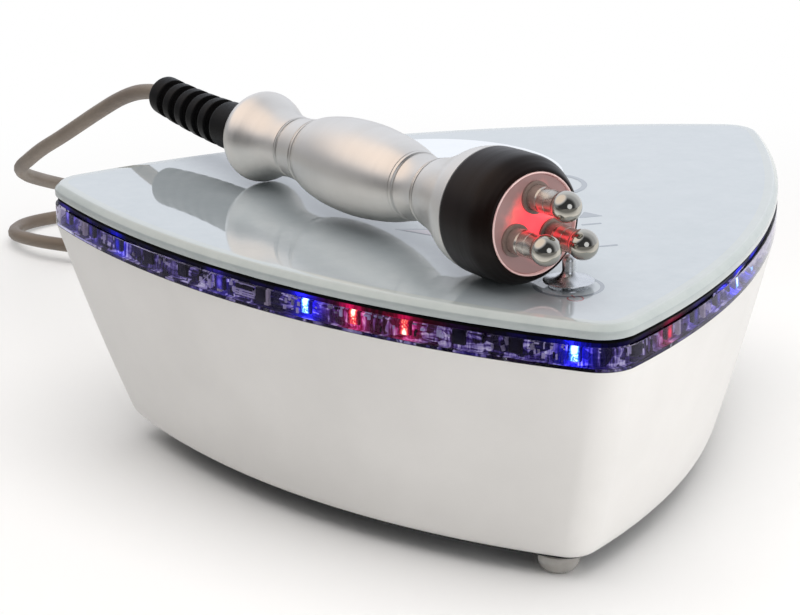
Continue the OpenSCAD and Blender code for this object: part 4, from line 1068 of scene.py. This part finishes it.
def head_piece():
    """Black head: smooth dome outside, a deep cup inside with a step that holds the face."""
    curve = catmull([(u, r * HEAD_R) for u, r in HEAD_PTS], 6)
    profile = [(BORE_R, HEAD_U), (22.35, HEAD_U), (22.65, 142.0), (22.78, 142.35)]
    profile += [(p[1], p[0]) for p in curve if 142.6 < p[0] < 165.5]
    profile += [(19.05, 165.85), (18.75, 166.0), (18.35, 166.0), (18.2, 165.8), (18.2, CUP_STEP_U),
                (17.4, CUP_STEP_U), (17.4, 144.4), (BORE_R, 144.4)]
    bm = bmesh.new()
    spin(bm, profile, 128)
    return make(bm, "head_turned", [black_anodised], HAND_M, 35)


settle(head_piece(), "handpiece", "head_black", "head_shell")


def rim_piece():
    """Clear ring round the face."""
    bm = bmesh.new()
    spin(bm, [(17.5, CUP_STEP_U), (18.15, CUP_STEP_U), (18.15, 166.1), (18.0, 166.3), (17.75, 166.3),
              (17.5, 166.0)], 128)
    return make(bm, "rim_polished", [pale_rim], HAND_M, 40)


settle(rim_piece(), "handpiece", "rim_pale", "face_rim")


def face_piece():
    """Frosted disc that the electrodes stand on."""
    bm = bmesh.new()
    spin(bm, [(0, CUP_STEP_U), (17.45, CUP_STEP_U), (17.45, FACE_U - 0.25), (17.2, FACE_U), (16.5, FACE_U),
              (9, FACE_U), (0, FACE_U)], 96, closed=False)
    return make(bm, "face_frosted", [face_glow], HAND_M, 40)


settle(face_piece(), "handpiece", "face_pink", "face_plate")


def electrode_pieces():
    """Three electrodes, each turned in one piece: stud, a seat painted smoky brown as shade, satin rod and
    polished ball end.
    """
    ball_r, ball_u, rod_r, stud_r, seat_r, pitch_r = 5.4, 182.15, 4.4, 2.6, 4.6, 9.35
    profile = [(0, 156.4), (2.2, 156.4), (stud_r, 156.8), (stud_r, 166.4), (rod_r, 166.4), (4.55, 166.5),
               (seat_r, 166.7), (seat_r, 170.4), (4.55, 170.7), (rod_r + 0.03, 171), (rod_r, 171.4),
               (rod_r, 174.8), (rod_r - 0.07, 174.9), (rod_r - 0.09, 175), (rod_r - 0.07, 175.1),
               (rod_r, 175.2)]
    meet = math.degrees(math.acos(rod_r / ball_r))
    profile.append((rod_r, ball_u - ball_r * math.sin(math.radians(meet)) - 0.15))
    start = -meet + 1.5
    profile += [(ball_r * math.cos(math.radians(a)), ball_u + ball_r * math.sin(math.radians(a)))
                for a in [start + (90 - start) * k / 22 for k in range(23)]]
    bm = bmesh.new()
    for k in range(3):
        part = bmesh.new()
        spin(part, profile, 64, closed=False)
        place = Matrix.Rotation(math.radians(177 + 120 * k), 4, "Z") @ Matrix.Translation((pitch_r, 0, 0))
        bmesh.ops.transform(part, matrix=place, verts=part.verts)
        absorb(bm, part)
    bm.faces.ensure_lookup_table()
    # Stud and seat take the painted smoky shade, the rod is satin and the ball end polished
    for face in bm.faces:
        u = face.calc_center_median().z
        face.material_index = 2 if u < 170.5 else int(u < ball_u - 3)
    return make(bm, "ball_electrodes", [polished_steel, satin_steel, sleeve_and_seat_shade], HAND_M, 32)


settle(electrode_pieces(), "handpiece", "electrode_steel", "electrodes")


def relief_piece():
    """Ribbed relief on a line that bends up slightly: a smooth head and tail, five grooves between."""
    long, rise, r0, r1 = 62.7, 4.3, 9.9, 8.0
    head, tail, ribs = 14, 11, 4
    wide, deep = 4.2, 2.0
    pitch = (long - head - tail) / ribs
    grooves = [head + k * pitch + 1.2 for k in range(ribs + 1)]

    def radius(s):
        r = r0 + (r1 - r0) * s / long
        near = min(abs(s - g) for g in grooves)
        t = min(1, max(0, (near - wide / 2 + 0.5) / 0.9))
        return r - deep * (1 - t * t * (3 - 2 * t))

    stops = {0.6, 2.0, 6.0, 10.0, long - 4, long - 1.6}
    for g in grooves:
        stops |= {g} | {g + side * d for side in (-1, 1) for d in (1.6, 1.8, 2.0, 2.2, 2.4, 2.6, 3.4)}
    points = [(-3.5, r0 - 1.45), (0, r0 - 1.45), (0, r0 - 0.4), (0.2, r0 - 0.12)]
    points += [(s, radius(s)) for s in sorted(stops) if 0.5 < s < long - 1.2]
    points += [(long - 0.9, r1 - 0.05), (long - 0.4, r1 - 0.3), (long - 0.1, r1 - 0.7), (long, r1 - 1.2)]
    turns = [math.tau * k / 64 for k in range(64)]
    rings = []
    for s, r in points:
        a = math.atan(2 * rise * max(s, 0) / long ** 2)
        x = -rise * (max(s, 0) / long) ** 2
        rings.append([(x + r * math.cos(b) * math.cos(a), r * math.sin(b),
                       REAR_U - s - r * math.cos(b) * math.sin(a))
                      for b in turns])
    bm = bmesh.new()
    stack(bm, rings)
    return make(bm, "relief_ribbed", [relief_rubber], HAND_M, 40)


relief = settle(relief_piece(), "handpiece", "relief_rubber", "strain_relief")

# ---- materials of the solids that stay ----
KEPT = {
    coated_steel: ["base_plate"],
    zinc_steel: ["base_screws", "ring_screws", "board_screws", "inlet_screws", "standoffs", "button_nut",
                 "electrode_nuts"],
    nickel: ["spacer_posts", "inlet_pins", "handpiece_socket", "socket_nut", "plug_ring"],
    brass: ["switch_terminals", "socket_contacts"],
    spring_steel: ["button_spring"],
    chrome: ["button_bezel"],
    lamp_lens: ["head_leds"],
    film_ink: ["panel_film"],
    board_green: ["touch_board", "main_board", "rf_board"],
    board_white: ["lamp_board"],
    cable_white: ["flat_cable"],
    black_plastic: ["button_switch", "board_chips", "mains_inlet", "plug_shell"],
    relief_rubber: ["plug_boot"],
    can_sleeve: ["capacitors"],
    wound_copper: ["rf_transformer"],
    extruded_al: ["heat_sink", "barrel_core"],
    supply_parts: ["power_supply"],
    terminal_green: ["supply_terminals"],
    ivory_nylon: ["head_sleeve"],
    sleeve_and_seat_shade: ["electrode_sleeves"],
}
for mat, names in KEPT.items():
    for name in names:
        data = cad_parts[name].data
        data.materials.clear()
        data.materials.append(mat)

# ---- floor, world and lamps ----


def mirror_or_view(tree):
    """1 for what is seen, mirrored or seen through something; 0 for light that falls on surfaces."""
    path = add(tree, "LightPath")
    through = add(tree, "Math", [(path, "Is Camera Ray"), (path, "Is Transmission Ray")], operation="MAXIMUM")
    return add(tree, "Math", [through, (path, "Is Glossy Ray")], operation="MAXIMUM")


def floor():
    """Wide floor that takes the object's shadow and turns into plain white away from the console."""
    mat, tree, shader = blank("plain_floor", Roughness=0.9, Specular_IOR_Level=0.1,
                              Base_Color=linear("fefefe"))
    place = add(tree, "TexCoord")
    far = add(tree, "VectorMath", [(place, "Object")], operation="LENGTH")
    fade = add(tree, "MapRange", [(far, "Value"), 0.24, 0.6, 0.0, 1.0], interpolation_type="SMOOTHSTEP")
    # In mirror images the white starts nearer to the console
    near = add(tree, "MapRange", [(far, "Value"), 0.12, 0.3, 0.0, 1.0])
    path = add(tree, "LightPath")
    kept = add(tree, "Mix", {"Factor": (path, "Is Glossy Ray"), "A": fade, "B": near})
    part = add(tree, "Math", [kept, mirror_or_view(tree)], operation="MULTIPLY")

    def dimmed(direction, start, end, low):
        """Strength that falls from 1 to low over the floor on one of the room's dim sides."""
        off = add(tree, "VectorMath", [(place, "Object"), direction], operation="DOT_PRODUCT")
        return add(tree, "MapRange", [(off, "Value"), start, end, 1.0, low])

    viewer_side = dimmed((-0.31, -0.95, 0), 0.12, 0.4, 0.25)
    left_side = dimmed((-0.86, 0.5, 0), 0.15, 0.5, 0.45)
    dim = add(tree, "Math", [viewer_side, left_side], operation="MULTIPLY")
    seen = add(tree, "Mix", {"Factor": (path, "Is Glossy Ray"), "A": 1.0, "B": dim})
    white = add(tree, "Emission", {"Color": (1, 1, 1, 1), "Strength": seen})
    both = add(tree, "MixShader", [part, shader, white])
    wire(tree, both, tree.nodes["Material Output"], "Surface")
    bm = bmesh.new()
    bmesh.ops.create_grid(bm, x_segments=1, y_segments=1, size=6000)
    obj = make(bm, "floor", [mat])
    obj.data.transform(Matrix.Translation((0, 0, -0.0001)))


floor()


def soft_box(name, at, target, size, power, tint="ffffff"):
    """Lamp with soft-edged shadows. Mirror images leave it out, so it puts no hot spot on the metal."""
    data = bpy.data.lights.new(name, "AREA")
    data.shape, data.size, data.size_y, data.energy = "RECTANGLE", size[0], size[1], power
    data.color = linear(tint)[:3]
    obj = bpy.data.objects.new(name, data)
    obj.location = at
    obj.rotation_euler = (Vector(target) - Vector(at)).to_track_quat("-Z", "Y").to_euler()
    obj.visible_glossy = False
    scene.collection.objects.link(obj)


soft_box("top_box", (-0.15, -0.1, 1.5), (0, 0, 0), (1.9, 1.6), 17, "fffbf8")
soft_box("key_box", (1.1, -1.25, 0.42), (0, 0, 0.05), (0.9, 0.6), 6)
soft_box("low_box", (0.3, -1.7, 0.28), (0.05, 0, 0.03), (1.2, 0.4), 4)

WARM_SIDE = (-0.58, 0.22, 0.78)


def studio():
    """White room. Mirrored, it is brightest at the back and dim on the viewer's side and the left.

    Mirror images are faintly tinted too, and show two bright boxes: one at WARM_SIDE and one in front.
    """
    world = bpy.data.worlds.new("studio")
    world.use_nodes = True
    scene.world = world
    sky = world.node_tree
    place = add(sky, "TexCoord")

    def towards(direction, low, high, start, end):
        """Brightness that goes from low to high as a direction is neared."""
        near = add(sky, "VectorMath", [(place, "Generated"), Vector(direction).normalized()],
                   operation="DOT_PRODUCT")
        return add(sky, "MapRange", [(near, "Value"), start, end, low, high], interpolation_type="SMOOTHSTEP")

    dim = towards((-0.31, -0.90, 0.22), 1.0, 0.1, 0.12, 0.62)
    warm_box = towards(WARM_SIDE, 0.0, 1.2, 0.65, 0.9)
    front_box = towards((0.08, -0.95, 0.28), 0.0, 1.2, 0.945, 0.965)
    back = towards((0.31, 0.94, -0.1), 0.62, 1.0, 0.05, 0.6)
    left = towards((-0.85, 0.5, -0.15), 1.0, 0.5, 0.6, 0.95)
    sides = add(sky, "Math", [left, back], operation="MULTIPLY")
    room = add(sky, "Math", [dim, sides], operation="MULTIPLY")
    boxes = add(sky, "Math", [warm_box, front_box], operation="MAXIMUM")
    mirrored = add(sky, "Math", [room, boxes], operation="MAXIMUM")
    # Light that falls on surfaces comes mostly from the upper right
    falling = towards((0.72, 0.25, 0.65), 0.1, 0.62, -0.6, 0.9)
    path = add(sky, "LightPath")
    unseen = add(sky, "Mix", {"Factor": mirror_or_view(sky), "A": falling, "B": mirrored})
    strength = add(sky, "Math", [unseen, (path, "Is Camera Ray")], operation="MAXIMUM")
    warmth = towards(WARM_SIDE, 0.0, 1.0, 0.72, 0.95)
    tint = add(sky, "ValToRGB", [warmth], stops=[(0.0, "f0f5ff"), (1.0, "fff0e6")])
    # A colour mix has its inputs at 6 and 7 and its result at 2
    plain = add(sky, "Mix", {"Factor": (path, "Is Glossy Ray"), 6: (1, 1, 1, 1), 7: tint}, data_type="RGBA")
    wire(sky, (plain, 2), sky.nodes["Background"], "Color")
    wire(sky, strength, sky.nodes["Background"], "Strength")


studio()
scene.view_settings.view_transform = "Standard"
